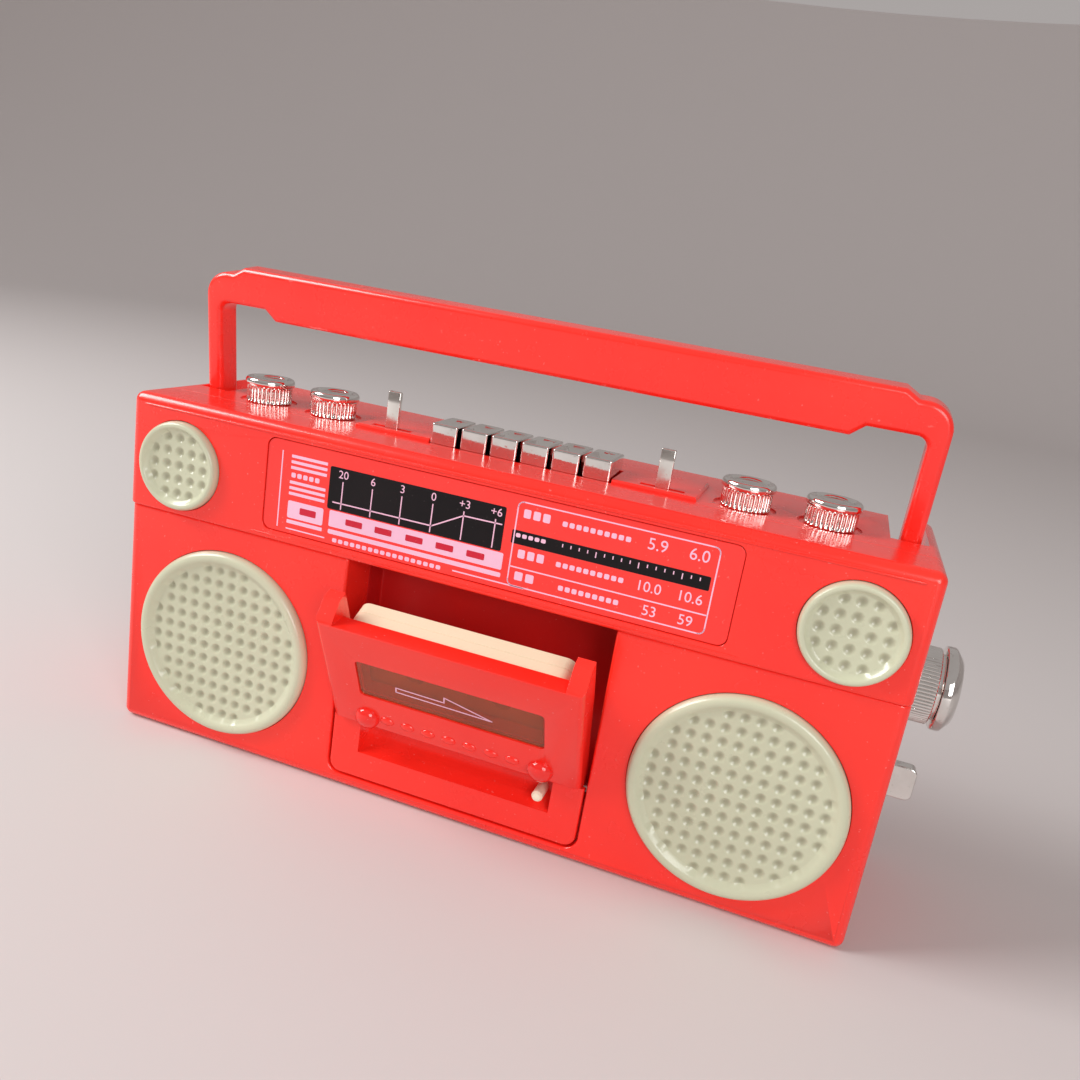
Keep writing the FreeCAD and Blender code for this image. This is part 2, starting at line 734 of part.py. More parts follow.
def door_window():
    piece = Piece("door_window")
    face = shut(d.PaneSunk)[0]
    half = d.WindowHalf - d.SlipGap
    low, high = shut(0, d.WindowLow)[1] + d.SlipGap, shut(0, d.WindowHigh)[1] - d.SlipGap
    piece.pad("XZ", face, face + d.PaneThick, rect(-half, half, low, high))
    piece.round(d.WindowCorner, lambda e: lies_on_one(
        e, *[{"x": side * half, "z": z} for side in sides for z in (low, high)]))
    hang(piece.body)


def door_bosses():
    """Two domed studs pressed into the door by its hinge."""
    face, boss_z = shut(0, d.BossZ)
    studs = []
    for i, side in enumerate(sides):
        dome = doc.addObject("Part::Cone", f"boss_dome_{i}")
        bind(dome, "Radius1", d.BossRadius)
        bind(dome, "Radius2", d.BossRadius / 3)
        bind(dome, "Height", d.BossHeight)
        place(dome, side * d.BossX, face, boss_z, *FACING["front"])
        stem = cylinder(f"boss_stem_{i}", d.BossStem, d.BossDepth, side * d.BossX, face, boss_z, "back")
        stud = doc.addObject("Part::Fuse", f"boss_{i}")
        stud.Base = dome
        stud.Tool = stem
        studs.append(stud)
    hang(group("door_bosses", studs))


def door_hinge_pins():
    length = d.PinOuter - d.PinInner
    group("door_hinge_pins", [
        cylinder(f"hinge_pin_{i}", d.PinRadius, length, start, hinge_y, d.DoorHingeZ, "right")
        for i, start in enumerate((-d.PinOuter, d.PinInner))])


def tape_half(name, y_low, y_high, wall_low, wall_high):
    """One half of the cassette's shell, with a shallow hollow and two hub holes."""
    piece = Piece(name)
    bottom = shut(0, d.LedgeHigh)[1] + d.SlipGap
    top = shut(0, d.TapeTop)[1]
    hub_z = shut(0, d.HubZ)[1]
    rim = 2 * d.TapeWall
    piece.pad("XZ", y_low, y_high, rect(-d.TapeHalf, d.TapeHalf, bottom, top))
    piece.round(d.TapeCorner, lambda e: lies_on_one(
        e, {"x": d.TapeHalf, "z": top}, {"x": -d.TapeHalf, "z": top}))
    piece.pocket("XZ", wall_low, wall_high,
                 rect(-d.TapeHalf + rim, d.TapeHalf - rim, bottom + rim, top - rim))
    piece.pocket("XZ", y_low, y_high, *[disc(side * d.HubX, hub_z, d.HubWindow) for side in sides])
    hang(piece.body)


def cassette():
    tape_front = shut(d.DoorPlate)[0] + d.TapeGap
    middle = tape_front + d.TapeThick / 2
    tape_back = tape_front + d.TapeThick
    tape_half("cassette_front_half", tape_front, middle, tape_front + d.TapeWall, middle)
    tape_half("cassette_back_half", middle, tape_back, middle, tape_back - d.TapeWall)
    hub_length = d.TapeThick - 2 * d.TapeWall - 2 * d.SlipGap
    hub_z = shut(0, d.HubZ)[1]
    hubs = []
    for i, side in enumerate(sides):
        start = (side * d.HubX, tape_front + d.TapeWall + d.SlipGap, hub_z)
        hub = doc.addObject("Part::Cut", f"hub_{i}")
        hub.Base = cylinder(f"hub_disc_{i}", d.HubRadius, hub_length, *start, "back")
        hub.Tool = cylinder(f"hub_bore_{i}", d.HubBore, hub_length, *start, "back")
        hubs.append(hub)
    hang(group("cassette_hubs", hubs))


# --- controls ---


def key_places():
    return [d.KeyPitch * i - d.KeyPitch * (d.KeyCount - 1) / 2 for i in range(int(d.KeyCount.value))]


def key_middle():
    return (d.KeyFront + d.KeyBack) / 2


def flange_top():
    return deck_under - 2 * d.SlipGap


def key_guide():
    """A bracket under the deck that guides the key stems and carries their springs."""
    piece = Piece("key_guide")
    floor = d.GuideLow + d.GuideThick
    inner = d.GuideHalf - d.GuideThick
    piece.pad("XZ", d.KeyFront - d.KeyFlange, d.KeyBack + d.KeyFlange, outline(
        (-d.GuideHalf, deck_under), (-d.GuideHalf, d.GuideLow), (d.GuideHalf, d.GuideLow),
        (d.GuideHalf, deck_under), (inner, deck_under), (inner, floor), (-inner, floor),
        (-inner, deck_under)))
    piece.pocket("XY", d.GuideLow, floor,
                 *[disc(x, key_middle(), d.KeyStemRadius + d.SlipGap) for x in key_places()])


def key(name, x):
    piece = Piece(name)
    half = d.KeyWidth / 2
    flange_low = flange_top() - d.KeyFlangeThick
    piece.pad("XZ", d.KeyFront, d.KeyBack, rect(-half, half, flange_low, d.KeyTop))
    piece.round(d.KeyRound, lambda e: lies(e, z=d.KeyTop))
    piece.pad("XZ", d.KeyFront - d.KeyFlange, d.KeyBack + d.KeyFlange,
              rect(-half, half, flange_low, flange_top()))
    piece.pad("XY", d.KeyStemEnd, flange_low, disc(0, key_middle(), d.KeyStemRadius))
    piece.put(x)


def key_spring(name, x):
    """The coil round a key's stem, between the guide and the key."""
    low = d.GuideLow + d.GuideThick + d.SpringWire
    height = flange_top() - d.KeyFlangeThick - low - d.SpringWire - d.SlipGap
    coil = doc.addObject("Part::Helix", name + "_path")
    bind(coil, "Radius", d.SpringRadius)
    bind(coil, "Height", height)
    bind(coil, "Pitch", height / d.SpringTurns)
    wire = doc.addObject("Part::Circle", name + "_wire")
    bind(wire, "Radius", d.SpringWire)
    place(wire, d.SpringRadius, 0, 0, (1, 0, 0), 90)
    doc.recompute()
    spring = doc.addObject("Part::Sweep", name)
    spring.Sections = [wire]
    spring.Spine = (coil, ["Edge1"])
    spring.Solid = True
    spring.Frenet = True
    spring.Label = name
    place(spring, x, key_middle(), low)
    subparts[name] = spring


def keys():
    key_guide()
    for i, x in enumerate(key_places(), start=1):
        key(f"key_{i}", x)
        key_spring(f"key_spring_{i}", x)


def channel(name, plane, low, high, outline_points):
    return Piece(name).pad(plane, low, high, outline(*outline_points))


def foot_half():
    return d.LeverThick / 2 + d.LeverFoot - d.SlipGap * 4


def lever(word, side):
    """A lever slider, its foot under the deck, and the rail that the foot runs in."""
    x = side * d.LeverX
    middle = d.LeverFront + d.LeverThick / 2
    foot_top = flange_top()
    foot_low = foot_top - d.LeverFoot
    half = d.LeverWidth / 2
    piece = Piece(f"slider_{word}")
    piece.pad("XY", foot_top, d.LeverTop, rect(-half, half, -d.LeverThick / 2, d.LeverThick / 2))
    piece.pad("XY", foot_low, foot_top, rect(-half * 1.5, half * 1.5, -foot_half(), foot_half()))
    piece.put(x, middle, 0)
    inside = foot_half() + 2 * d.SlipGap
    outside = inside + d.RailThick
    floor = foot_low - 2 * d.SlipGap
    reach = half * 1.5 + d.LeverTravel + d.SlipGap * 2
    channel(f"slider_rail_{word}", "YZ", x - reach, x + reach, (
        (middle - outside, deck_under), (middle - outside, floor - d.RailThick),
        (middle + outside, floor - d.RailThick), (middle + outside, deck_under),
        (middle + inside, deck_under), (middle + inside, floor), (middle - inside, floor),
        (middle - inside, deck_under)))


def knob(name, x):
    """A capped knob on a shaft that snaps through the deck."""
    piece = Piece(name)
    seat = d.DeckHeight - d.DishDepth + d.SlipGap
    barb_top = deck_under - 2 * d.SlipGap
    barb_end = barb_top - d.BarbLength
    piece.turn((0, barb_end), (d.KnobShaft, barb_end), (d.BarbRadius, barb_top - d.BarbLength / 2),
               (d.BarbRadius, barb_top), (d.KnobShaft, barb_top), (d.KnobShaft, seat),
               (d.KnobBodyRadius, seat), (d.KnobBodyRadius, d.KnobTop - d.KnobRim),
               (d.KnobRadius, d.KnobTop - d.KnobRim), (d.KnobRadius, d.KnobTop - d.KnobRim / 3),
               (d.KnobBodyRadius, d.KnobTop), (0, d.KnobTop))
    piece.put(x, d.KnobY, 0)


def tuning_knob():
    """The large knob on the right end, with a bevelled outer rim."""
    piece = Piece("tuning_knob")
    wall_in = -d.WallThick - 2 * d.SlipGap
    barb_end = wall_in - d.BarbLength
    start = 2 * d.SlipGap
    piece.turn((0, barb_end), (d.TuneShaft, barb_end), (d.TuneBarb, wall_in - d.BarbLength / 2),
               (d.TuneBarb, wall_in), (d.TuneShaft, wall_in), (d.TuneShaft, start),
               (d.TuneBarrel, start), (d.TuneBarrel, d.TuneRimStart), (d.TuneRim, d.TuneRimStart),
               (d.TuneRim, d.TuneReach - d.TuneRim / 6), (d.TuneFace, d.TuneReach), (0, d.TuneReach))
    piece.put(half_width, d.TuneY, d.TuneZ, *FACING["right"])


def slide_tab():
    """The thin tab on the right end, its foot inside, and the rail that the foot runs in."""
    piece = Piece("slide_tab")
    half = d.TabHeight / 2
    foot_out = side_inner - 2 * d.SlipGap
    foot_in = foot_out - d.LeverFoot
    foot = half + d.RailThick
    piece.pad("XZ", -d.TabThick / 2, d.TabThick / 2,
              rect(foot_in, half_width + d.TabReach, d.TabZ - half, d.TabZ + half))
    piece.round(d.TabRound, lambda e: lies_on_one(
        e, *[{"x": half_width + d.TabReach, "z": z} for z in (d.TabZ - half, d.TabZ + half)]))
    piece.pad("XZ", -d.TabThick / 2, d.TabThick / 2, rect(foot_in, foot_out, d.TabZ - foot, d.TabZ + foot))
    inside = foot + 2 * d.SlipGap
    outside = inside + d.RailThick
    floor = foot_in - 2 * d.SlipGap
    reach = d.TabThick / 2 + d.TabTravel + 2 * d.SlipGap
    channel("slide_tab_rail", "XZ", -reach, reach, (
        (side_inner, d.TabZ - outside), (side_inner, d.TabZ - inside), (floor, d.TabZ - inside),
        (floor, d.TabZ + inside), (side_inner, d.TabZ + inside), (side_inner, d.TabZ + outside),
        (floor - d.RailThick, d.TabZ + outside), (floor - d.RailThick, d.TabZ - outside)))


# --- handle ---


def handle():
    """Drawn upright about its pivot line, then leaned forward by the rest angle."""
    piece = Piece("handle")
    near = -d.HandleDepth / 2
    far = d.HandleDepth / 2
    grip_top, end_top = d.GripTop - d.PivotZ, d.HandleEndTop - d.PivotZ
    grip_under, end_under = d.GripUnder - d.PivotZ, d.HandleEndUnder - d.PivotZ
    right = [(d.GripTopHalf, grip_top), (d.GripTopHalf + d.GripSlope, end_top), (d.LegOuter, end_top),
             (d.LegOuter, near), (d.LegInner, near), (d.LegInner, end_under),
             (d.GripUnderHalf + d.GripSlope, end_under), (d.GripUnderHalf, grip_under)]
    left = [(-x, z) for x, z in reversed(right)]
    piece.pad("XZ", near, far, outline(*right, *left))
    piece.round(d.HandleCorner, lambda e: lies_on_one(
        e, *[{"x": side * d.LegOuter, "z": end_top} for side in sides]))
    piece.round(d.HandleInnerCorner, lambda e: lies_on_one(
        e, *[{"x": side * d.LegInner, "z": end_under} for side in sides]))
    piece.round(d.HandleDepth / 2 - d.SlipGap, lambda e: lies_on_one(
        e, {"y": near, "z": near}, {"y": far, "z": near}))
    piece.round(d.HandleRound, lambda e: lies_on_one(e, {"y": near}, {"y": far})
                and e.CenterOfMass.z > d.SlotGap.value)
    hub_start = d.SlotInner + 2 * d.SlipGap
    for low, high in ((hub_start, d.LegInner), (-d.LegInner, -hub_start)):
        piece.pad("YZ", low, high, disc(0, 0, d.HandleDepth / 2))
    for low, high in ((d.SlotInner, d.LegOuter), (-d.LegOuter, -d.SlotInner)):
        piece.pocket("YZ", low, high, disc(0, 0, d.PivotPin + d.SlipGap))
    piece.put(0, d.PivotY, d.PivotZ, (1, 0, 0), d.HandleLean)
    bind(piece.body, "Placement.Rotation.Angle", d.HandleLean)


def handle_pivot_pins():
    length = pin_end() - pin_start()
    group("handle_pivot_pins", [
        cylinder(f"pivot_pin_{i}", d.PivotPin, length, start, d.PivotY, d.PivotZ, "right")
        for i, start in enumerate((-pin_end(), pin_start()))])


# --- build, check and export ---

lower_front()
control_panel()
scale_plate()
rear_shell()
top_deck()
grilles()
case_screws()
back_magnets()
sill_panel()
sill_peg()
cassette_well()
door_frame()
door_window()
door_bosses()
door_hinge_pins()
cassette()
keys()
for word, side in (("left", -1), ("right", 1)):
    lever(word, side)
for i, x in enumerate(knob_places(), start=1):
    knob(f"knob_{i}", x)
tuning_knob()
slide_tab()
handle()
handle_pivot_pins()
doc.recompute()

for thing in doc.Objects:
    if "Invalid" in thing.State or "Error" in thing.State:
        raise RuntimeError(f"{thing.Label} did not compute: {thing.State}")
    if thing.TypeId == "PartDesign::Pocket":
        if thing.Shape.Volume >= thing.BaseFeature.Shape.Volume - 1e-6:
            raise RuntimeError(f"{thing.Label} cuts nothing")

os.makedirs("parts", exist_ok=True)
for name, thing in subparts.items():
    shape = thing.Shape
    if shape.isNull() or not shape.isValid():
        raise RuntimeError(f"{name} has no valid shape")
    shape.exportStep(f"parts/{name}.step")
print(f"{len(subparts)} sub-parts written")
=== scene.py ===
import bmesh
import bpy
import json
import math
import numpy as np
from mathutils import Matrix


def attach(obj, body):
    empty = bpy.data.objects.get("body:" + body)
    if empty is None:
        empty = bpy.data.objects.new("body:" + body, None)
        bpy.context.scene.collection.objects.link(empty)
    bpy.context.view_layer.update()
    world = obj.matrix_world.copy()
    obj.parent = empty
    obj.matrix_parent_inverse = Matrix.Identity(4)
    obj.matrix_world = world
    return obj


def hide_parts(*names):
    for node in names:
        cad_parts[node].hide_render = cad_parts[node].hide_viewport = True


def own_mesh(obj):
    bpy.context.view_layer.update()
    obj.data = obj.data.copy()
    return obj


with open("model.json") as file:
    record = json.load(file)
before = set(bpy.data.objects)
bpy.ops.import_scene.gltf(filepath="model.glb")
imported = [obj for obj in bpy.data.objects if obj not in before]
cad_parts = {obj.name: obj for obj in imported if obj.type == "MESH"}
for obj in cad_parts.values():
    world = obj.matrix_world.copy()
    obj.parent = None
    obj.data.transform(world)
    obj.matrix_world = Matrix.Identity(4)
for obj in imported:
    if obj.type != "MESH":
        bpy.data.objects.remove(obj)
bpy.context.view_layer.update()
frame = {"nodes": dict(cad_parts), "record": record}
nodes = frame["nodes"]
mm = 0.001


# Surfaces are grids of points in millimetres, made into closed meshes.

def ringSkin(rings, start, end):
    # rings of points laid one after another and joined by quads; each end is drawn together into one point
    rings = np.asarray(rings, float)
    rows, count = rings.shape[:2]
    points = np.vstack([rings.reshape(-1, 3), start, end])
    i = np.arange(rows - 1)[:, None] * count
    j = np.arange(count)[None, :]
    k = (j + 1) % count
    quads = np.stack([i + j, i + k, i + count + k, i + count + j], -1).reshape(-1, 4)
    pole = rows * count
    last = (rows - 1) * count
    startFan = np.stack([np.full(count, pole), k[0], j[0]], -1)
    endFan = np.stack([np.full(count, pole + 1), last + j[0], last + k[0]], -1)
    return points, quads.tolist() + startFan.tolist() + endFan.tolist()


def lathe(profile, count, change=None):
    # a profile of (radius, height) turned about Z; change may move the points by their angle, radius and height
    profile = np.asarray(profile, float)
    angle = np.linspace(0, 2 * math.pi, count, endpoint=False)
    radius = np.repeat(profile[1:-1, 0:1], count, 1)
    height = np.repeat(profile[1:-1, 1:2], count, 1)
    turn = np.repeat(angle[None, :], len(radius), 0)
    if change:
        radius, height = change(turn, radius, height)
    rings = np.stack([radius * np.cos(turn), radius * np.sin(turn), height], -1)
    endHeight = height[-1].mean() if change else profile[-1, 1]
    return ringSkin(rings, (0, 0, profile[0, 1]), (0, 0, endHeight))


def softRect(halfX, halfY, corner, steps=5):
    # a rectangle's outline with quarter-circle corners, anticlockwise, as x and y
    corner = min(corner, halfX - 1e-4, halfY - 1e-4)
    quarter = np.linspace(0, math.pi / 2, steps)
    out = []
    for n, (sx, sy) in enumerate(((1, 1), (-1, 1), (-1, -1), (1, -1))):
        a = quarter + n * math.pi / 2
        out.append(np.stack([sx * (halfX - corner) + corner * np.cos(a),
                             sy * (halfY - corner) + corner * np.sin(a)], -1))
    return np.concatenate(out)


def stack(layers, crown=None, steps=5):
    # soft rectangles of (half x, half y, corner, height) laid up Z; crown adds a height by y to each layer
    rings = []
    for n, (halfX, halfY, corner, height) in enumerate(layers):
        flat = softRect(halfX, halfY, corner, steps)
        lift = crown(n, flat[:, 1]) if crown else 0
        rings.append(np.column_stack([flat, np.full(len(flat), height) + lift]))
    low, high = rings[0][:, 2].mean(), rings[-1][:, 2].mean()
    return ringSkin(rings, (0, 0, low), (0, 0, high))


def rounded(profile, radius, steps=4):
    # a profile of straight runs with each inner corner replaced by a short curve of about that radius
    profile = np.asarray(profile, float)
    out = [profile[0]]
    for before, at, after in zip(profile[:-2], profile[1:-1], profile[2:]):
        a, b = before - at, after - at
        reach = min(radius, np.linalg.norm(a) * 0.45, np.linalg.norm(b) * 0.45)
        p, q = at + a / np.linalg.norm(a) * reach, at + b / np.linalg.norm(b) * reach
        t = np.linspace(0, 1, steps)[:, None]
        out.extend((1 - t) ** 2 * p + 2 * t * (1 - t) * at + t ** 2 * q)
    out.append(profile[-1])
    return np.array(out)


turns = {
    "up": np.eye(3),
    "front": np.array([[1, 0, 0], [0, 0, -1], [0, 1, 0]]),   # local Z points along -Y
    "right": np.array([[0, 0, 1], [0, 1, 0], [-1, 0, 0]]),   # local Z points along +X
}

door = {"hingeY": -7.6, "hingeZ": 6.6, "open": 26.0, "face": -1.4}


def hang(points):
    # from the shut door's own frame, about its hinge line, to its open place
    a = math.radians(door["open"])
    x, y, z = points.T
    return np.stack([x, y * math.cos(a) - z * math.sin(a) + door["hingeY"],
                     y * math.sin(a) + z * math.cos(a) + door["hingeZ"]], -1)


def put(surface, at=(0, 0, 0), facing="up"):
    points, faces = surface
    return points @ turns[facing].T + np.array(at, float), faces


def join(surfaces):
    points, faces, start = [], [], 0
    for p, f in surfaces:
        points.append(p)
        faces.extend([[v + start for v in face] for face in f])
        start += len(p)
    return np.concatenate(points), faces


def makePiece(name, surface, material, body, replaced=(), sharp=35, paintedShadeMask=None):
    points, faces = surface
    mesh = bpy.data.meshes.new(name)
    mesh.from_pydata((np.asarray(points) * mm).tolist(), [], faces)
    mesh.validate()
    mesh.materials.append(material)
    piece = bpy.data.objects.new(name, mesh)
    bpy.context.scene.collection.objects.link(piece)
    if paintedShadeMask is not None:
        layer = mesh.attributes.new("shade", "FLOAT", "POINT")
        layer.data.foreach_set("value", np.asarray(paintedShadeMask, np.float32))
    mesh.shade_smooth()
    mesh.set_sharp_from_angle(angle=math.radians(sharp))
    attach(piece, body)
    if replaced:
        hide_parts(*replaced)
    return piece


# Effects that the materials share.

def newGroup(name, inputs, outputs):
    group = bpy.data.node_groups.new(name, "ShaderNodeTree")
    for label, kind, value in inputs:
        socket = group.interface.new_socket(label, in_out="INPUT", socket_type=kind)
        if value is not None:
            socket.default_value = value
    for label, kind in outputs:
        group.interface.new_socket(label, in_out="OUTPUT", socket_type=kind)
    return group, group.nodes.new("NodeGroupInput"), group.nodes.new("NodeGroupOutput")


def noise(tree, vector, scale, detail=3.0, rough=0.5):
    node = tree.nodes.new("ShaderNodeTexNoise")
    node.inputs["Scale"].default_value = scale
    node.inputs["Detail"].default_value = detail
    node.inputs["Roughness"].default_value = rough
    tree.links.new(vector, node.inputs["Vector"])
    return node.outputs["Fac"]


def spread(tree, value, low, high, toLow=0.0, toHigh=1.0):
    node = tree.nodes.new("ShaderNodeMapRange")
    node.inputs["From Min"].default_value = low
    node.inputs["From Max"].default_value = high
    node.inputs["To Min"].default_value = toLow
    node.inputs["To Max"].default_value = toHigh
    tree.links.new(value, node.inputs["Value"])
    return node.outputs["Result"]


def sums(tree, kind, a, b):
    node = tree.nodes.new("ShaderNodeMath")
    node.operation = kind
    for n, value in enumerate((a, b)):
        if isinstance(value, (int, float)):
            node.inputs[n].default_value = value
        else:
            tree.links.new(value, node.inputs[n])
    return node.outputs[0]


def mixColour(tree, amount, a, b):
    node = tree.nodes.new("ShaderNodeMix")
    node.data_type = "RGBA"
    for socket, value in ((node.inputs[0], amount), (node.inputs[6], a), (node.inputs[7], b)):
        if isinstance(value, (int, float)):
            socket.default_value = value
        elif isinstance(value, tuple):
            socket.default_value = (*value, 1.0)
        else:
            tree.links.new(value, socket)
    return node.outputs[2]


def mouldedSkinGroup():
    # moulded plastic: slow drift of the colour, faint flow marks, fine grain and rare dust
    group, given, out = newGroup("mouldedSkin", [
        ("Vector", "NodeSocketVector", None), ("Base", "NodeSocketColor", (0.8, 0.05, 0.02, 1)),
        ("Deep", "NodeSocketColor", (0.6, 0.02, 0.01, 1)), ("Dust", "NodeSocketFloat", 0.2),
        ("Smooth", "NodeSocketFloat", 0.2), ("Dull", "NodeSocketFloat", 0.4)],
        [("Color", "NodeSocketColor"), ("Roughness", "NodeSocketFloat"), ("Height", "NodeSocketFloat")])
    at = given.outputs["Vector"]
    drift = spread(group, noise(group, at, 70, 2), 0.35, 0.7)
    flow = spread(group, noise(group, at, 260, 4, 0.6), 0.3, 0.75)
    grain = noise(group, at, 2600, 2)
    specks = spread(group, noise(group, at, 3300, 1), 0.73, 0.80)
    tone = mixColour(group, sums(group, "MULTIPLY", drift, 0.55), given.outputs["Base"], given.outputs["Deep"])
    tone = mixColour(group, sums(group, "MULTIPLY", flow, 0.14), tone, given.outputs["Deep"])
    dust = sums(group, "MULTIPLY", specks, given.outputs["Dust"])
    tone = mixColour(group, dust, tone, (0.86, 0.78, 0.74))
    wide = sums(group, "SUBTRACT", given.outputs["Dull"], given.outputs["Smooth"])
    rough = sums(group, "ADD", sums(group, "MULTIPLY", flow, wide), given.outputs["Smooth"])
    rough = sums(group, "ADD", rough, sums(group, "MULTIPLY", dust, 0.4))
    height = sums(group, "ADD", sums(group, "MULTIPLY", flow, 0.5), sums(group, "MULTIPLY", grain, 0.16))
    group.links.new(tone, out.inputs["Color"])
    group.links.new(rough, out.inputs["Roughness"])
    group.links.new(height, out.inputs["Height"])
    return group


def handledMetalGroup():
    # plated metal: smudges that dull the mirror, hairlines and tiny pits
    group, given, out = newGroup("handledMetal", [
        ("Vector", "NodeSocketVector", None), ("Base", "NodeSocketColor", (0.85, 0.84, 0.82, 1)),
        ("Worn", "NodeSocketColor", (0.55, 0.52, 0.48, 1)), ("Smooth", "NodeSocketFloat", 0.05),
        ("Dull", "NodeSocketFloat", 0.25)],
        [("Color", "NodeSocketColor"), ("Roughness", "NodeSocketFloat"), ("Height", "NodeSocketFloat")])
    at = given.outputs["Vector"]
    smudge = spread(group, noise(group, at, 420, 3, 0.6), 0.42, 0.72)
    pits = spread(group, noise(group, at, 2400, 2), 0.66, 0.76)
    fine = noise(group, at, 5200, 1)
    tone = mixColour(group, sums(group, "MULTIPLY", smudge, 0.22), given.outputs["Base"], given.outputs["Worn"])
    tone = mixColour(group, sums(group, "MULTIPLY", pits, 0.5), tone, given.outputs["Worn"])
    wide = sums(group, "SUBTRACT", given.outputs["Dull"], given.outputs["Smooth"])
    rough = sums(group, "ADD", sums(group, "MULTIPLY", smudge, wide), given.outputs["Smooth"])
    height = sums(group, "SUBTRACT", sums(group, "MULTIPLY", fine, 0.2), pits)
    group.links.new(tone, out.inputs["Color"])
    group.links.new(rough, out.inputs["Roughness"])
    group.links.new(height, out.inputs["Height"])
    return group


mouldedSkin = mouldedSkinGroup()
handledMetal = handledMetalGroup()


def startMaterial(name, settings):
    material = bpy.data.materials.new(name)
    material.use_nodes = True
    tree = material.node_tree
    shader = tree.nodes["Principled BSDF"]
    for socket, value in settings.items():
        shader.inputs[socket].default_value = value
    place = tree.nodes.new("ShaderNodeTexCoord")
    return material, tree, shader, place.outputs["Object"]


def finishMaterial(tree, shader, effect, bump):
    tree.links.new(effect.outputs["Color"], shader.inputs["Base Color"])
    tree.links.new(effect.outputs["Roughness"], shader.inputs["Roughness"])
    relief = tree.nodes.new("ShaderNodeBump")
    relief.inputs["Strength"].default_value = bump
    relief.inputs["Distance"].default_value = 0.00004
    tree.links.new(effect.outputs["Height"], relief.inputs["Height"])
    tree.links.new(relief.outputs["Normal"], shader.inputs["Normal"])


def plastic(name, base, deep, smooth=0.18, dull=0.32, dust=0.12, bump=0.25, shade=None, **settings):
    material, tree, shader, at = startMaterial(name, settings)
    skin = tree.nodes.new("ShaderNodeGroup")
    skin.node_tree = mouldedSkin
    tree.links.new(at, skin.inputs["Vector"])
    skin.inputs["Base"].default_value = (*base, 1)
    skin.inputs["Deep"].default_value = (*deep, 1)
    for label, value in (("Smooth", smooth), ("Dull", dull), ("Dust", dust)):
        skin.inputs[label].default_value = value
    finishMaterial(tree, shader, skin, bump)
    # painted shade: the shade colour is mixed into the base colour where the mask is high, darkening the
    # hollows
    if shade:   # the piece's own shade attribute darkens its hollows
        paintedShadeMask = tree.nodes.new("ShaderNodeAttribute")
        paintedShadeMask.attribute_name = "shade"
        tone = mixColour(tree, paintedShadeMask.outputs["Fac"], skin.outputs["Color"], shade)
        tree.links.new(tone, shader.inputs["Base Color"])
    return material


def plated(name, base, worn, smooth=0.04, dull=0.16, bump=0.15, **settings):
    settings.setdefault("Metallic", 1.0)
    material, tree, shader, at = startMaterial(name, settings)
    skin = tree.nodes.new("ShaderNodeGroup")
    skin.node_tree = handledMetal
    tree.links.new(at, skin.inputs["Vector"])
    skin.inputs["Base"].default_value = (*base, 1)
    skin.inputs["Worn"].default_value = (*worn, 1)
    skin.inputs["Smooth"].default_value = smooth
    skin.inputs["Dull"].default_value = dull
    finishMaterial(tree, shader, skin, bump)
    return material


gloss = {"Coat Weight": 0.35, "Coat Roughness": 0.12, "IOR": 1.5}
coral, coralDeep = (1.0, 0.030, 0.016), (0.90, 0.014, 0.010)
caseRed = plastic("caseRed", coral, coralDeep, **gloss)
doorRed = plastic("doorRed", coral, coralDeep, smooth=0.16, dull=0.28, **gloss)
handleRed = plastic("handleRed", coral, coralDeep, smooth=0.2, dull=0.34, **gloss)
sillRed = plastic("sillRed", coral, coralDeep, **gloss)
# the case red made darker: painted shade for the recessed cassette well
shadedWellRed = plastic("shadedWellRed", (0.70, 0.012, 0.010), (0.52, 0.006, 0.008), smooth=0.3, dull=0.5)
# the case red made darker: painted shade for the inner surfaces
shadedInnerRed = plastic("shadedInnerRed", (0.75, 0.03, 0.02), (0.6, 0.015, 0.012), smooth=0.35, dull=0.5)
scaleRed = plastic("scaleRed", (0.98, 0.034, 0.024), (0.86, 0.016, 0.014), smooth=0.12, dull=0.22, **gloss)
bossRed = plastic("bossRed", (0.92, 0.026, 0.018), (0.78, 0.012, 0.010), smooth=0.05, dull=0.12,
                  bump=0.1, **gloss)
# the grille's pits are darkened with a painted shade colour
grilleCream = plastic("grilleCream", (0.60, 0.61, 0.44), (0.50, 0.51, 0.36), smooth=0.24, dull=0.4, dust=0.04,
                      shade=(0.36, 0.35, 0.24), **gloss)
cassetteCream = plastic("cassetteCream", (0.84, 0.70, 0.50), (0.76, 0.61, 0.41), smooth=0.34, dull=0.5)
pegCream = plastic("pegCream", (0.93, 0.84, 0.66), (0.85, 0.74, 0.56), smooth=0.25, dull=0.4)
hubWhite = plastic("hubWhite", (0.85, 0.83, 0.78), (0.75, 0.73, 0.68), smooth=0.3, dull=0.45)
inkPale = plastic("inkPale", (0.90, 0.54, 0.70), (0.82, 0.44, 0.60), smooth=0.4, dull=0.6, bump=0.1)
inkBlack = plastic("inkBlack", (0.006, 0.005, 0.006), (0.014, 0.010, 0.011), smooth=0.3, dull=0.45, bump=0.1,
                   dust=0.02, **{"Specular IOR Level": 0.2})
inkRed = plastic("inkRed", (0.62, 0.006, 0.035), (0.50, 0.004, 0.024), smooth=0.3, dull=0.45, bump=0.1)
chromeBright = plated("chromeBright", (0.80, 0.78, 0.75), (0.45, 0.41, 0.37), smooth=0.03, dull=0.12)
chromeLever = plated("chromeLever", (0.86, 0.85, 0.80), (0.58, 0.55, 0.50), smooth=0.1, dull=0.26)
screwSteel = plated("screwSteel", (0.62, 0.61, 0.60), (0.35, 0.33, 0.30), smooth=0.22, dull=0.42)
springSteel = plated("springSteel", (0.55, 0.55, 0.56), (0.33, 0.32, 0.31), smooth=0.2, dull=0.35)
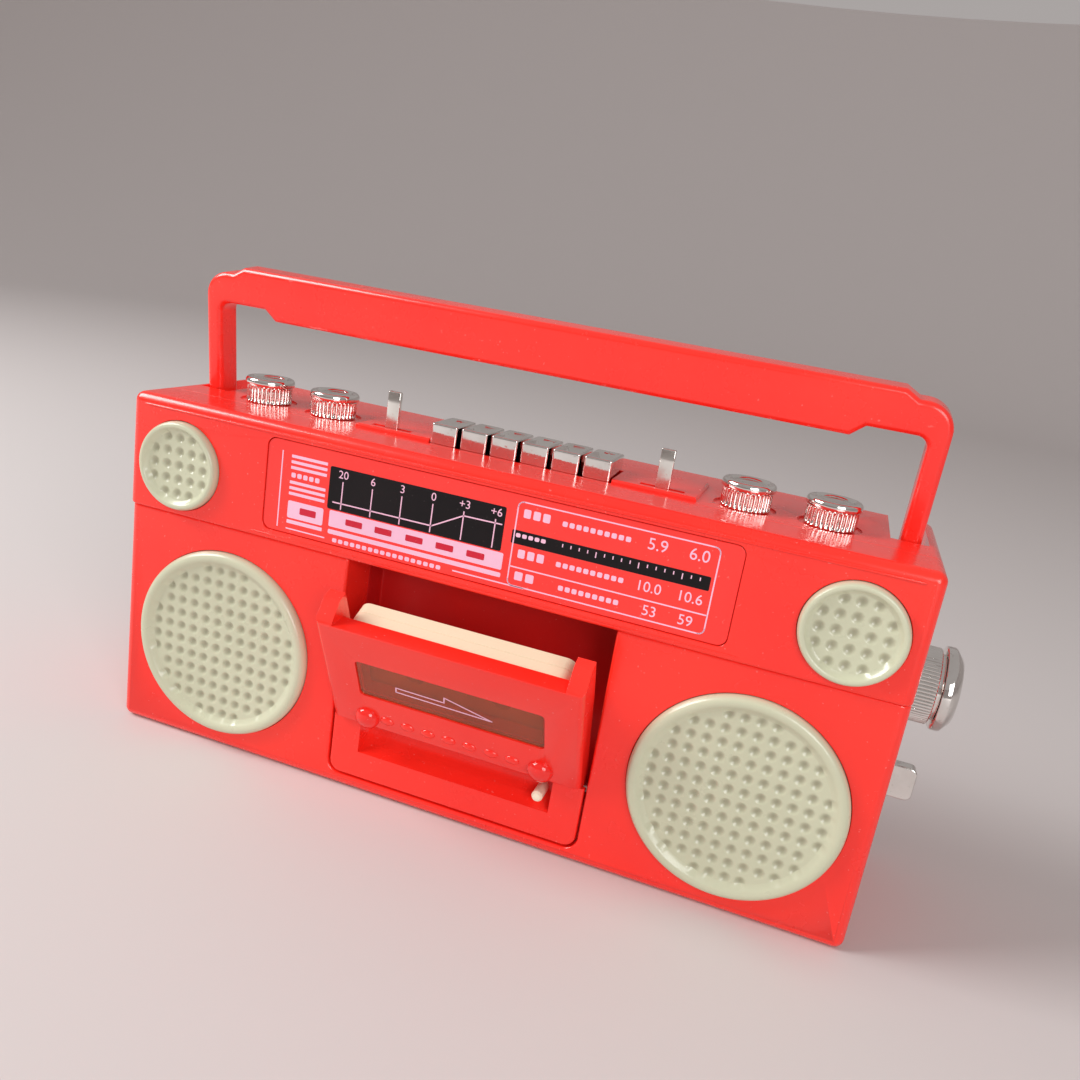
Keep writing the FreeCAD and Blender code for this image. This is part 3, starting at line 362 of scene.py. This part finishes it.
magnetNickel = plated("magnetNickel", (0.50, 0.49, 0.47), (0.28, 0.26, 0.24), smooth=0.18, dull=0.4)
windowSmoked = plastic("windowSmoked", (0.80, 0.26, 0.12), (0.58, 0.16, 0.07), smooth=0.06, dull=0.14,
                       dust=0.05, bump=0.05, **{"Transmission Weight": 0.80, "IOR": 1.38})
print("materials ready")

slotMaterials = {
    "case_red": caseRed, "scale_print": scaleRed, "sill_red": sillRed, "well_red": shadedWellRed,
    "door_red": doorRed, "window_smoked": windowSmoked, "boss_red": bossRed, "inner_red": shadedInnerRed,
    "tab_chrome": chromeBright, "handle_red": handleRed, "grille_cream": grilleCream, "peg_cream": pegCream,
    "cassette_cream": cassetteCream, "hub_white": hubWhite, "key_chrome": chromeBright,
    "knob_chrome": chromeBright, "lever_chrome": chromeLever, "tuning_chrome": chromeBright,
    "screw_steel": screwSteel, "spring_steel": springSteel, "magnet_dark": magnetNickel,
}
nodeSlot = {entry["node"]: entry["material_slot"] for entry in frame["record"]["subparts"]}
for name, slotName in nodeSlot.items():
    for slot in nodes[name].material_slots:
        slot.material = slotMaterials[slotName]


# Moulded edges.

softEdges = {   # how far each moulded piece's edges are rounded over, in millimetres
    "lower_front": 0.14, "control_panel": 0.14, "rear_shell": 0.14, "top_deck": 0.10, "sill_panel": 0.45,
    "door_frame": 0.5, "handle": 0.22, "slide_tab": 0.14, "cassette_front_half": 0.07,
    "cassette_back_half": 0.07, "cassette_well": 0.2, "scale_plate": 0.05,
}


def soften(name, width, body):
    # a merged copy of a moulded piece with its sharp edges rounded over
    mesh = nodes[name].data.copy()
    shape = bmesh.new()
    shape.from_mesh(mesh)
    bmesh.ops.remove_doubles(shape, verts=shape.verts, dist=1e-6)
    bmesh.ops.dissolve_limit(shape, angle_limit=math.radians(0.5), verts=shape.verts, edges=shape.edges)
    shape.to_mesh(mesh)
    shape.free()
    mesh.materials.clear()
    mesh.materials.append(slotMaterials[nodeSlot[name]])
    piece = bpy.data.objects.new(name + "Moulded", mesh)
    bpy.context.scene.collection.objects.link(piece)
    edge = piece.modifiers.new("edge", "BEVEL")
    edge.width = width * mm
    edge.segments = 3
    edge.limit_method = "ANGLE"
    edge.angle_limit = math.radians(38)
    edge.harden_normals = True
    mesh.shade_smooth()
    mesh.set_sharp_from_angle(angle=math.radians(38))
    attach(piece, body)
    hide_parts(name)
    return piece


bodyOf = {name: body for body, names in frame["record"]["behaviour"]["bodies"].items() for name in names}
for name, width in softEdges.items():
    soften(name, width, bodyOf[name])
print("moulded edges done")


# Speaker grilles.

def dimpledDisc(radius, rim, proud, seat, boss, pitch, dimple, depth, across, rings, count):
    # a dished disc: up the side, over a rounded rim and down to a shallow field that is pitted on a square grid
    field = radius - rim
    side = rounded([(0, -1.6), (boss, -1.6), (boss, seat), (radius, seat), (radius, proud * 0.45),
                    (radius - rim * 0.22, proud), (radius - rim * 0.62, proud), (field, proud * 0.36)], 0.3, 5)
    inside = np.linspace(field - 0.05, 0, rings)
    dish = proud * 0.36 - 0.16 * (1 - (inside / field) ** 2)
    profile = np.vstack([side[:-1], np.column_stack([inside, dish])])

    def pit(turn, r, h):
        x, y = r * np.cos(turn), r * np.sin(turn)
        half = (across - 1) / 2
        column, row = np.round(x / pitch + half) - half, np.round(y / pitch + half) - half
        apart = np.hypot(x - column * pitch, y - row * pitch)
        inField = np.hypot(column, row) * pitch < field - dimple * 0.35
        bowl = np.clip(1 - (apart / dimple) ** 2, 0, 1) ** 1.2
        return r, h - depth * bowl * inField * (h > -0.4)

    surface = lathe(profile, count, pit)
    points = surface[0]
    # the second result is painted shade: how far each point sits down in a pit, used to darken the pits' colour
    plain = np.interp(np.hypot(points[:, 0], points[:, 1]), inside[::-1], dish[::-1])
    sunk = np.where(points[:, 2] > -0.45, (plain - points[:, 2]) / depth, 0)
    within = np.hypot(points[:, 0], points[:, 1]) < field - 0.06
    return surface, np.clip(sunk, 0, 1) * within


woofer = {"radius": 8.9, "rim": 1.35, "proud": 0.7, "seat": -0.5, "boss": 1.5, "pitch": 1.28, "dimple": 0.5,
          "depth": 0.21, "across": 12, "rings": 96, "count": 420}
tweeter = {"radius": 4.05, "rim": 0.85, "proud": 0.7, "seat": -0.5, "boss": 1.5, "pitch": 1.28, "dimple": 0.5,
           "depth": 0.21, "across": 5, "rings": 44, "count": 220}
grilleSeats = {"woofer": (24.1, -9.0, 10.55), "tweeter": (29.6, -9.3, 26.5)}   # on the right side
for side, word in ((-1, "Left"), (1, "Right")):
    for kind, sizes in (("woofer", woofer), ("tweeter", tweeter)):
        x, y, z = grilleSeats[kind]
        surface, paintedShadeMask = dimpledDisc(**sizes)
        makePiece(f"{kind}Grille{word}", put(surface, (side * x, y, z), "front"), grilleCream, "case",
                  [f"{kind}_grille_{word.lower()}"], sharp=60, paintedShadeMask=paintedShadeMask)
print("grilles done")


# Keys with their springs, knobs and sliders.

keyRow = {"count": 6, "pitch": 2.8}
keyRod = {"radius": 0.45, "low": 26.0, "high": 29.75}
pianoKey = {"half": 1.225, "low": 29.7, "top": 34.2, "front": -3.8, "back": 0.6, "corner": 0.22, "rim": 0.26,
            "dish": 0.5, "flange": 0.35}


def keyPlaces():
    # the keys' numbers from 1 and their places along X, even about the middle
    return [(n + 1, (n - (keyRow["count"] - 1) / 2) * keyRow["pitch"]) for n in range(keyRow["count"])]


def pianoKeyBody():
    # a chromed key: straight sides, a bright rounded rim, and a top that dips like a shallow spoon
    k = pianoKey
    halfY = (k["back"] - k["front"]) / 2
    lowered = k["top"] - 0.14
    layers = [(k["half"], halfY + k["flange"], 0.06, k["low"]), (k["half"], halfY + k["flange"], 0.06, 30.69),
              (k["half"], halfY, 0.06, 30.7), (k["half"], halfY, k["corner"], 31.0),
              (k["half"], halfY, k["corner"], 31.1),
              (k["half"], halfY, k["corner"], lowered - 0.12), (k["half"], halfY, k["corner"], lowered - 0.02)]
    for t in np.linspace(0.15, 1, 6):
        inset = 0.14 * (1 - math.cos(t * math.pi / 2))
        height = lowered + 0.14 * math.sin(t * math.pi / 2)
        layers.append((k["half"] - inset, halfY - inset, k["corner"], height))
    layers.append((k["half"] - k["rim"] * 0.7, halfY - k["rim"] * 0.7, 0.3, k["top"] + 0.02))
    straight = len(layers)
    for t in np.linspace(0.0, 1.0, 14)[1:]:
        reach = 1 - t
        halfX = (k["half"] - k["rim"]) * reach + 0.02
        layers.append((halfX, (halfY - k["rim"]) * reach + 0.02, 0.45 * reach + 0.01,
                       k["top"] - k["dish"] * (1 - (1 - min(t * 1.7, 1)) ** 2)))

    def crown(n, y):
        # the whole top bows down a little between its front and back edges
        return -0.10 * np.cos(np.clip(y / halfY, -1, 1) * math.pi / 2) * (n >= straight - 4)

    return stack(layers, crown, 7), (k["front"] + k["back"]) / 2


def keyStem():
    k = keyRod
    side = [(0, k["low"]), (k["radius"], k["low"]), (k["radius"], k["high"]), (0, k["high"])]
    return lathe(rounded(side, 0.1, 3), 20)


keyBody, keyMiddle = pianoKeyBody()
for n, x in keyPlaces():
    makePiece(f"pianoKey{n}", join([put(keyBody, (x, keyMiddle, 0)), put(keyStem(), (x, keyMiddle, 0))]),
              chromeBright, f"key_{n}", [f"key_{n}"], sharp=40)

keySpring = {"radius": 0.75, "wire": 0.13, "turns": 4, "low": 27.4, "high": 29.65, "travel": 0.8}


def coilSpring():
    # a round wire along a helix; its section stays square to the path
    k = keySpring
    turn = np.linspace(0, 2 * math.pi * k["turns"], k["turns"] * 28 + 1)[:, None]
    climb = k["high"] - k["low"] - 2 * k["wire"]
    path = np.hstack([k["radius"] * np.cos(turn), k["radius"] * np.sin(turn),
                      k["low"] + k["wire"] + climb * turn / turn[-1]])
    outward = np.hstack([np.cos(turn), np.sin(turn), 0 * turn])
    pitch = climb / turn[-1]
    along = np.hstack([-k["radius"] * np.sin(turn), k["radius"] * np.cos(turn), 0 * turn + pitch])
    along /= np.linalg.norm(along, axis=1)[:, None]
    upward = np.cross(along, outward)
    ring = np.linspace(0, 2 * math.pi, 10, endpoint=False)[None, :, None]
    rings = path[:, None] + k["wire"] * (np.cos(ring) * outward[:, None] + np.sin(ring) * upward[:, None])
    return ringSkin(rings, path[0], path[-1])


for n, x in keyPlaces():
    coil = makePiece(f"keyCoil{n}", put(coilSpring(), (x, keyMiddle, 0)), springSteel, "case",
                     [f"key_spring_{n}"], sharp=50)
    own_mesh(coil)

deckKnob = {"body": 2.08, "cap": 2.25, "seat": 32.3, "top": 34.6, "flutes": 30, "bite": 0.17, "y": -1.2,
            "places": (-26.2, -19.3, 19.3, 26.2)}


def flutedKnob():
    # a straight barrel with round-bottomed flutes under a wider polished cap with a shallow recess
    k = deckKnob
    barrelTop = k["top"] - 0.72
    profile = [(0, 29.1), (0.7, 29.1), (1.0, 29.9), (1.0, 30.7), (0.7, 30.72), (0.7, k["seat"]),
               (k["body"] - 0.12, k["seat"]), (k["body"], k["seat"] + 0.12)]
    profile += [(k["body"], h) for h in np.linspace(k["seat"] + 0.2, barrelTop - 0.06, 8)]
    profile += [(k["body"] - 0.06, barrelTop), (k["cap"] - 0.05, barrelTop + 0.06),
                (k["cap"], barrelTop + 0.16)]
    profile += [(k["cap"] - 0.28 * (1 - math.cos(t)), barrelTop + 0.36 + 0.36 * math.sin(t))
                for t in np.linspace(0, math.pi / 2, 8)]
    profile += [(1.72, k["top"] + 0.01), (1.58, k["top"] - 0.05), (1.5, k["top"] - 0.16),
                (1.38, k["top"] - 0.2)]
    profile += [(r, k["top"] - 0.2 + 0.04 * (1 - (r / 1.38) ** 2)) for r in np.linspace(1.25, 0.05, 8)]
    profile.append((0, k["top"] - 0.16))

    def flute(turn, r, h):
        wave = np.abs(np.sin(turn * k["flutes"] / 2)) ** 0.75
        zone = np.clip((h - k["seat"] - 0.15) / 0.12, 0, 1) * np.clip((barrelTop - 0.02 - h) / 0.1, 0, 1)
        return r - k["bite"] * (1 - wave) * zone * (r > 1.9), h

    return lathe(profile, 360, flute)


knobSurface = flutedKnob()
for n, x in enumerate(deckKnob["places"], start=1):
    makePiece(f"deckKnob{n}", put(knobSurface, (x, deckKnob["y"], 0)), chromeBright, f"knob_{n}",
              [f"knob_{n}"], sharp=32)

leverBlade = {"half": 0.6, "thick": 0.25, "top": 36.0, "foot": 30.7, "x": 12.5, "y": -2.65}
leverFoot = {"half": 0.9, "thick": 0.8, "low": 30.0, "high": 30.65, "arris": 0.06}


def bladeOnFoot():
    # a thin upright blade with broken edges on a small block
    k = leverBlade
    blade = [(k["half"] - 0.1, k["thick"] - 0.1, 0.04, 30.6), (k["half"], k["thick"], 0.07, k["foot"])]
    blade += [(k["half"], k["thick"], 0.07, h) for h in np.linspace(31, k["top"] - 0.1, 6)]
    blade += [(k["half"] - 0.03, k["thick"] - 0.03, 0.06, k["top"] - 0.03),
              (k["half"] - 0.09, k["thick"] - 0.09, 0.04, k["top"]), (0.1, 0.03, 0.02, k["top"])]
    k = leverFoot
    inHalf, inThick = k["half"] - k["arris"], k["thick"] - k["arris"]
    foot = [(inHalf, inThick, 0.05, k["low"] - 0.05), (k["half"], k["thick"], k["arris"], k["low"]),
            (k["half"], k["thick"], k["arris"], k["high"]), (inHalf, inThick, 0.05, k["high"] + 0.05)]
    return join([stack(blade), stack(foot)])


for side, word in ((-1, "left"), (1, "right")):
    makePiece(f"lever{word.title()}", put(bladeOnFoot(), (side * leverBlade["x"], leverBlade["y"], 0)),
              chromeLever, f"slider_{word}", [f"slider_{word}"], sharp=30)

sideKnob = {"barrel": 3.2, "rim": 3.5, "face": 2.62, "reach": 3.9, "lines": 64, "at": (35, -0.5, 21)}


def linedKnob():
    # a barrel with fine lines along it, a groove, then a wide bevelled rim and a shallow round face
    k = sideKnob
    profile = [(0, -3.3), (1.0, -3.3), (1.35, -2.5), (1.35, -1.7), (1.0, -1.68), (1.0, 0.1),
               (k["barrel"] - 0.15, 0.1), (k["barrel"], 0.25)]
    profile += [(k["barrel"], h) for h in np.linspace(0.35, 2.1, 8)]
    profile += [(k["barrel"] - 0.05, 2.18), (k["barrel"] - 0.45, 2.24), (k["barrel"] - 0.45, 2.46),
                (k["rim"] - 0.14, 2.5), (k["rim"] - 0.03, 2.56), (k["rim"], 2.68), (k["rim"], 3.16),
                (k["rim"] - 0.05, 3.28)]
    profile += [(k["face"] + 0.12, k["reach"] - 0.03), (k["face"], k["reach"]),
                (k["face"] - 0.12, k["reach"] - 0.03),
                (k["face"] - 0.3, k["reach"] - 0.2), (k["face"] - 0.5, k["reach"] - 0.26)]
    profile += [(r, k["reach"] - 0.26 + 0.1 * (1 - (r / 2.1) ** 2)) for r in np.linspace(1.9, 0.06, 9)]
    profile.append((0, k["reach"] - 0.16))

    def lines(turn, r, h):
        wave = np.abs(np.sin(turn * k["lines"] / 2)) ** 0.6
        zone = np.clip((h - 0.3) / 0.1, 0, 1) * np.clip((2.12 - h) / 0.08, 0, 1) * (r > 3.0)
        return r - 0.09 * (1 - wave) * zone, h

    return lathe(profile, 512, lines)


makePiece("sideTuningKnob", put(linedKnob(), sideKnob["at"], "right"), chromeBright, "tuning_knob",
          ["tuning_knob"], sharp=32)
print("controls done")


# Printed scale. Flat shapes are drawn in X and Z and stand just proud of the plate.

def slab(outline, depthOut, depthIn):
    # a flat outline in X and Z, anticlockwise from the front, drawn out between two depths
    outline = np.asarray(outline, float)
    back = np.column_stack([outline[:, 0], np.full(len(outline), depthIn), outline[:, 1]])
    front = np.column_stack([outline[:, 0], np.full(len(outline), depthOut), outline[:, 1]])
    middle = outline.mean(0)
    return ringSkin([back, front], (middle[0], depthIn, middle[1]), (middle[0], depthOut, middle[1]))


def bar(xLow, xHigh, zLow, zHigh, corner=0.04):
    flat = softRect((xHigh - xLow) / 2, (zHigh - zLow) / 2, corner, 3)
    return flat + np.array([(xLow + xHigh) / 2, (zLow + zHigh) / 2])


def stroke(start, end, width):
    start, end = np.array(start, float), np.array(end, float)
    along = (end - start) / np.linalg.norm(end - start)
    across = np.array([-along[1], along[0]]) * width / 2
    tail, tip = start - along * width / 4, end + along * width / 4
    return np.array([tail - across, tip - across, tip + across, tail + across])


def strokes(route, width):
    return [stroke(a, b, width) for a, b in zip(route[:-1], route[1:])]


def frameLine(xLow, xHigh, zLow, zHigh, corner, width):
    # a rounded rectangle drawn as short strokes
    flat = softRect((xHigh - xLow) / 2, (zHigh - zLow) / 2, corner, 5)
    flat = flat + np.array([(xLow + xHigh) / 2, (zLow + zHigh) / 2])
    return strokes(list(flat) + [flat[0]], width)


def dashes(xLow, xHigh, z, height, letter=0.42, gap=0.16):
    # a row of short blocks that stands for a caption
    starts = np.arange(xLow, xHigh - letter + 1e-6, letter + gap)
    return [bar(x, x + letter, z - height / 2, z + height / 2, 0.1) for x in starts]


def numeral(text, x, z, height, depth):
    # a printed number, made a mesh from the built-in typeface, its middle at x, z
    curve = bpy.data.curves.new("numeral", "FONT")
    curve.body = text
    curve.size = height / 0.7
    curve.align_x = "CENTER"
    curve.extrude = 0.006
    curve.resolution_u = 4
    holder = bpy.data.objects.new("numeral", curve)
    bpy.context.scene.collection.objects.link(holder)
    bpy.context.view_layer.update()
    mesh = bpy.data.meshes.new_from_object(holder.evaluated_get(bpy.context.evaluated_depsgraph_get()))
    shape = bmesh.new()
    shape.from_mesh(mesh)
    bmesh.ops.remove_doubles(shape, verts=shape.verts, dist=1e-5)
    shape.to_mesh(mesh)
    shape.free()
    points = np.array([v.co for v in mesh.vertices])
    faces = [list(p.vertices) for p in mesh.polygons]
    bpy.data.objects.remove(holder)
    bpy.data.meshes.remove(mesh)
    return np.stack([points[:, 0] + x, depth - points[:, 2], points[:, 1] + z - height / 2], -1), faces


plate = {"face": -9.2, "line": 0.11}
stripes = {"left": -18.4, "right": -14.9, "half": 0.13, "rows": (29.8, 29.3, 28.8, 27.5, 27.0, 26.5)}
meter = {"left": -14.6, "right": 1.5, "low": 26.0, "high": 29.75, "numberZ": 29.2, "numberHeight": 0.68,
         "marks": (("20", -13.3), ("6", -10.5), ("3", -7.75), ("0", -4.9), ("+3", -2.1), ("+6", 0.7)),
         "trace": [(-14.1, 26.65), (-4.8, 26.7), (-2.1, 28.2), (1.3, 28.25)],
         "lamps": (-11.9, -9.1, -6.2, -3.4, -0.6)}
tuner = {"left": 2.45, "right": 18.9, "low": 23.4, "high": 30.5, "corner": 0.45, "rule": 25.0,
         "longTicks": (9.35, 12.8, 16.3),
         # each band's height, where its large blocks end, their width and gap, and its small blocks' ends
         "bands": ((29.6, 5.6, 0.6, 0.22, 6.3, 12.0), (26.2, 5.6, 0.6, 0.22, 6.3, 12.0),
                   (24.3, 4.9, 0.7, 0.25, 6.8, 12.2)),
         # each number's middle along X, its middle height and its own height
         "numbers": (("5.9", 14.1, 29.6, 0.95), ("6.0", 17.4, 29.6, 0.95), ("10.0", 14.0, 26.1, 0.85),
                     ("10.6", 17.3, 26.1, 0.85), ("53", 14.4, 24.2, 0.85), ("59", 17.3, 24.2, 0.85))}
ink = {"black": [], "pale": [], "red": [], "paleTop": []}   # paleTop lies over the black


def layerOf(outlines, level):
    # one colour's flat shapes; level stacks the colours without their faces meeting
    out = plate["face"] - 0.008 * level
    return [slab(o, out, plate["face"] + 0.01) for o in outlines]


def printStripes():
    # a line down the side, six stripes, a lamp in a pale block and two lines below it
    k = stripes
    ink["pale"].append(stroke((-19.3, 23.3), (-19.3, 30.1), plate["line"]))
    ink["pale"] += [bar(k["left"], k["right"], z - k["half"], z + k["half"]) for z in k["rows"]]
    ink["pale"] += dashes(-18.3, -15.0, 28.15, 0.42)
    ink["pale"].append(bar(k["left"], k["right"], 24.3, 25.85, 0.15))
    ink["red"].append(bar(-17.2, -15.6, 24.8, 25.4, 0.08))
    ink["pale"].append(bar(k["left"], k["right"], 23.8, 24.12))
    ink["pale"].append(stroke((k["left"], 23.3), (meter["left"], 23.3), plate["line"]))


def printMeter():
    # a black field with a mark under each number and a bent trace, over a pale row of lamps
    k = meter
    ink["black"].append(bar(k["left"], k["right"], k["low"], k["high"], 0.15))
    ink["paleTop"] += [stroke((x, 26.15), (x, 28.55), 0.1) for _, x in k["marks"]]
    ink["paleTop"] += strokes(k["trace"], 0.11)
    ink["pale"].append(bar(-14.3, 1.8, 24.45, 25.9, 0.12))
    ink["red"] += [bar(x - 0.8, x + 0.8, 24.88, 25.43, 0.08) for x in k["lamps"]]
    ink["pale"].append(bar(-14.3, 1.8, 23.8, 24.2, 0.1))
    ink["pale"] += dashes(-13.8, -3.2, 23.3, 0.36)
    ink["pale"].append(stroke((-2.4, 23.35), (3.9, 23.35), plate["line"]))


def printTuner():
    # a framed table of three bands with a black tick scale between the first two
    k = tuner
    ink["pale"] += frameLine(k["left"], k["right"], k["low"], k["high"], k["corner"], plate["line"])
    ink["pale"].append(stroke((k["left"] + 0.05, k["rule"]), (k["right"] - 0.05, k["rule"]), plate["line"]))
    ink["black"].append(bar(2.25, 18.6, 26.95, 28.1, 0.1))
    for x in np.arange(6.6, 18.4, 0.7):
        tall = min(abs(x - t) for t in k["longTicks"]) < 0.36
        ink["paleTop"].append(stroke((x, 27.62 - 0.2 * tall), (x, 27.85), 0.09))
    ink["paleTop"] += dashes(2.6, 5.4, 27.7, 0.34, 0.4, 0.14)
    for z, nameEnd, letter, gap, left, right in k["bands"]:
        ink["pale"] += dashes(3.0, nameEnd, z, 0.72, letter, gap)
        ink["pale"] += dashes(left, right, z - 0.1, 0.42)


def printNumbers():
    k = meter
    onBlack, onRed = plate["face"] - 0.018, plate["face"] - 0.006
    numbers = [numeral(text, x, k["numberZ"], k["numberHeight"], onBlack) for text, x in k["marks"]]
    return numbers + [numeral(text, x, z, height, onRed) for text, x, z, height in tuner["numbers"]]


printStripes()
printMeter()
printTuner()
makePiece("scaleBlack", join(layerOf(ink["black"], 1)), inkBlack, "case")
makePiece("scalePale", join(layerOf(ink["pale"], 1.6) + layerOf(ink["paleTop"], 2.4)), inkPale, "case")
makePiece("scaleWindows", join(layerOf(ink["red"], 2.4)), inkRed, "case")
makePiece("scaleNumerals", join(printNumbers()), inkPale, "case")
print("printed scale done")


# Case trim.

def ridge(xLow, xHigh, z, face, high, wide):
    # a thin raised line along X, half round in section, with its ends drawn down
    t = np.linspace(0, math.pi, 9)
    section = np.column_stack([np.cos(t) * wide / 2, -np.sin(t) * high])
    places = np.concatenate([[xLow], np.linspace(xLow + 0.4, xHigh - 0.4, 12), [xHigh]])
    rings = []
    for n, x in enumerate(places):
        size = 0.15 if n in (0, len(places) - 1) else 1.0
        ring = np.column_stack([np.full(9, x), face + section[:, 1] * size, z + section[:, 0] * size])
        sunk = np.array([[x, face + 0.05, z - wide / 2 * size], [x, face + 0.05, z + wide / 2 * size]])
        rings.append(np.vstack([ring, sunk]))
    return ringSkin(rings, rings[0].mean(0), rings[-1].mean(0))


upperRidge = {"xLow": -33.6, "xHigh": 33.6, "z": 31.45, "face": -9.3, "high": 0.1, "wide": 0.22}
lowerRidge = {"xLow": -22.0, "xHigh": 22.0, "z": 22.35, "face": -9.3, "high": 0.05, "wide": 0.14}
makePiece("panelRidge", join([ridge(**upperRidge), ridge(**lowerRidge)]), caseRed, "case", sharp=60)
print("case trim done")


# Door pieces, drawn on the shut door and then hung open.

doorStud = {"radius": 1.15, "height": 0.85, "x": 8.15, "z": 9.15}


def domedStud():
    # a low ellipsoid dome on a short stem
    k = doorStud
    t = np.linspace(0, math.pi / 2, 12)
    dome = np.column_stack([k["radius"] * np.cos(t), k["height"] * np.sin(t)])
    dome[-1, 0] = 0
    profile = np.vstack([[(0, -1.0), (0.5, -1.0), (0.5, -0.04), (k["radius"] - 0.12, -0.04)], dome])
    return lathe(profile, 48)


studs = []
for side in (-1, 1):
    p, f = put(domedStud(), (side * doorStud["x"], door["face"], doorStud["z"] - door["hingeZ"]), "front")
    studs.append((hang(p), f))
makePiece("doorStuds", join(studs), bossRed, "tape_door", ["door_bosses"], sharp=40)

doorBump = {"radius": 0.45, "height": 0.26, "stretch": 1.5, "first": -6.2, "last": 5.6, "count": 7,
            "lift": 0.25}


def moundedBump():
    # a low ellipsoid, longer along X than across
    k = doorBump
    t = np.linspace(0, math.pi / 2, 6)
    profile = np.vstack([[(0, -0.1)], np.column_stack([k["radius"] * np.cos(t), k["height"] * np.sin(t)])])
    profile[-1, 0] = 0
    points, faces = lathe(profile, 20)
    return points * (k["stretch"], 1, 1), faces


bumps = []
bumpZ = doorStud["z"] - door["hingeZ"] + doorBump["lift"]
for x in np.linspace(doorBump["first"], doorBump["last"], doorBump["count"]):
    p, f = put(moundedBump(), (x, door["face"], bumpZ), "front")
    bumps.append((hang(p), f))
makePiece("doorBumps", join(bumps), doorRed, "tape_door", sharp=60)

# a thin arrow outline printed on the pane
pane = {"face": door["face"] + 0.15, "line": 0.11}


def onPane(outline):
    p, f = slab(outline, pane["face"] - 0.02, pane["face"] + 0.01)
    return hang(p), f


arrowRoute = [(-4.95, 7.1), (-4.9, 7.64), (-0.45, 7.56), (-0.41, 8.22), (3.85, 6.95), (-4.95, 7.1)]
makePiece("paneArrow", join([onPane(s) for s in strokes(arrowRoute, pane["line"])]), inkPale, "tape_door")
print("door pieces done")


# Stage, light and camera.

def stagePiece(name, points, faces, colour, rough):
    mesh = bpy.data.meshes.new(name)
    mesh.from_pydata((np.asarray(points) * mm).tolist(), [], faces)
    mesh.shade_smooth()
    material = bpy.data.materials.new(name)
    material.use_nodes = True
    shader = material.node_tree.nodes["Principled BSDF"]
    shader.inputs["Base Color"].default_value = (*colour, 1)
    shader.inputs["Roughness"].default_value = rough
    mesh.materials.append(material)
    thing = bpy.data.objects.new(name, mesh)
    bpy.context.scene.collection.objects.link(thing)


studio = {"flat": 450, "curve": 250, "wall": 420, "sides": 96}


def roundFloor():
    # a flat disc whose edge curves up through a quarter circle into a low wall, open at the top
    k = studio
    t = np.linspace(0.1, math.pi / 2, 14)
    edge = k["flat"] + k["curve"]
    across = np.concatenate([[0, 120, 300, k["flat"]], k["flat"] + k["curve"] * np.sin(t), [edge]])
    rise = np.concatenate([[0, 0, 0, 0], k["curve"] * (1 - np.cos(t)), [k["wall"]]]) - 0.01
    points, faces = lathe(np.column_stack([across, rise]), k["sides"])
    lid = len(points) - 1
    return points[:-1], [face for face in faces if lid not in face]


stagePiece("floor", *roundFloor(), (0.64, 0.60, 0.59), 0.7)

world = bpy.data.worlds.new("softRoom")
bpy.context.scene.world = world
world.use_nodes = True
world.node_tree.nodes["Background"].inputs["Color"].default_value = (1.0, 0.93, 0.91, 1)
world.node_tree.nodes["Background"].inputs["Strength"].default_value = 0.40
bpy.context.scene.view_settings.view_transform = "Standard"


def softLight(name, at, aim, size, power, colour=(1, 1, 1)):
    lamp = bpy.data.lights.new(name, "AREA")
    lamp.shape = "RECTANGLE"
    lamp.size, lamp.size_y = size[0] * mm, size[1] * mm
    lamp.energy = power
    lamp.color = colour
    holder = bpy.data.objects.new(name, lamp)
    bpy.context.scene.collection.objects.link(holder)
    away = np.array(at, float) - np.array(aim, float)
    holder.matrix_world = aimed(at, away)


def aimed(at, back, up=(0, 0, 1)):
    back = np.array(back, float) / np.linalg.norm(back)
    side = np.cross(up, back)
    side /= np.linalg.norm(side)
    top = np.cross(back, side)
    m = Matrix.Identity(4)
    for row in range(3):
        m[row][0], m[row][1], m[row][2], m[row][3] = side[row], top[row], back[row], at[row] * mm
    return m


softLight("keyLight", (-290, -110, 240), (0, 0, 15), (180, 180), 1.25)
softLight("fillLight", (190, -270, 130), (0, 0, 15), (170, 170), 0.55)

eye = {"at": (24.91, -80.97, 49.18), "right": (0.9378, 0.3108, 0.1550), "up": (-0.2293, 0.2187, 0.9485),
       "forward": (-0.2609, 0.925, -0.2763), "lens": 32.19}
lens = bpy.data.cameras.new("camera")
lens.lens = eye["lens"]
lens.sensor_width = 36
lens.clip_start, lens.clip_end = 0.002, 10
camera = bpy.data.objects.new("camera", lens)
bpy.context.scene.collection.objects.link(camera)
pose = Matrix.Identity(4)
for row in range(3):
    pose[row][0], pose[row][1] = eye["right"][row], eye["up"][row]
    pose[row][2], pose[row][3] = -eye["forward"][row], eye["at"][row] * mm
camera.matrix_world = pose
bpy.context.scene.camera = camera
print("stage ready")
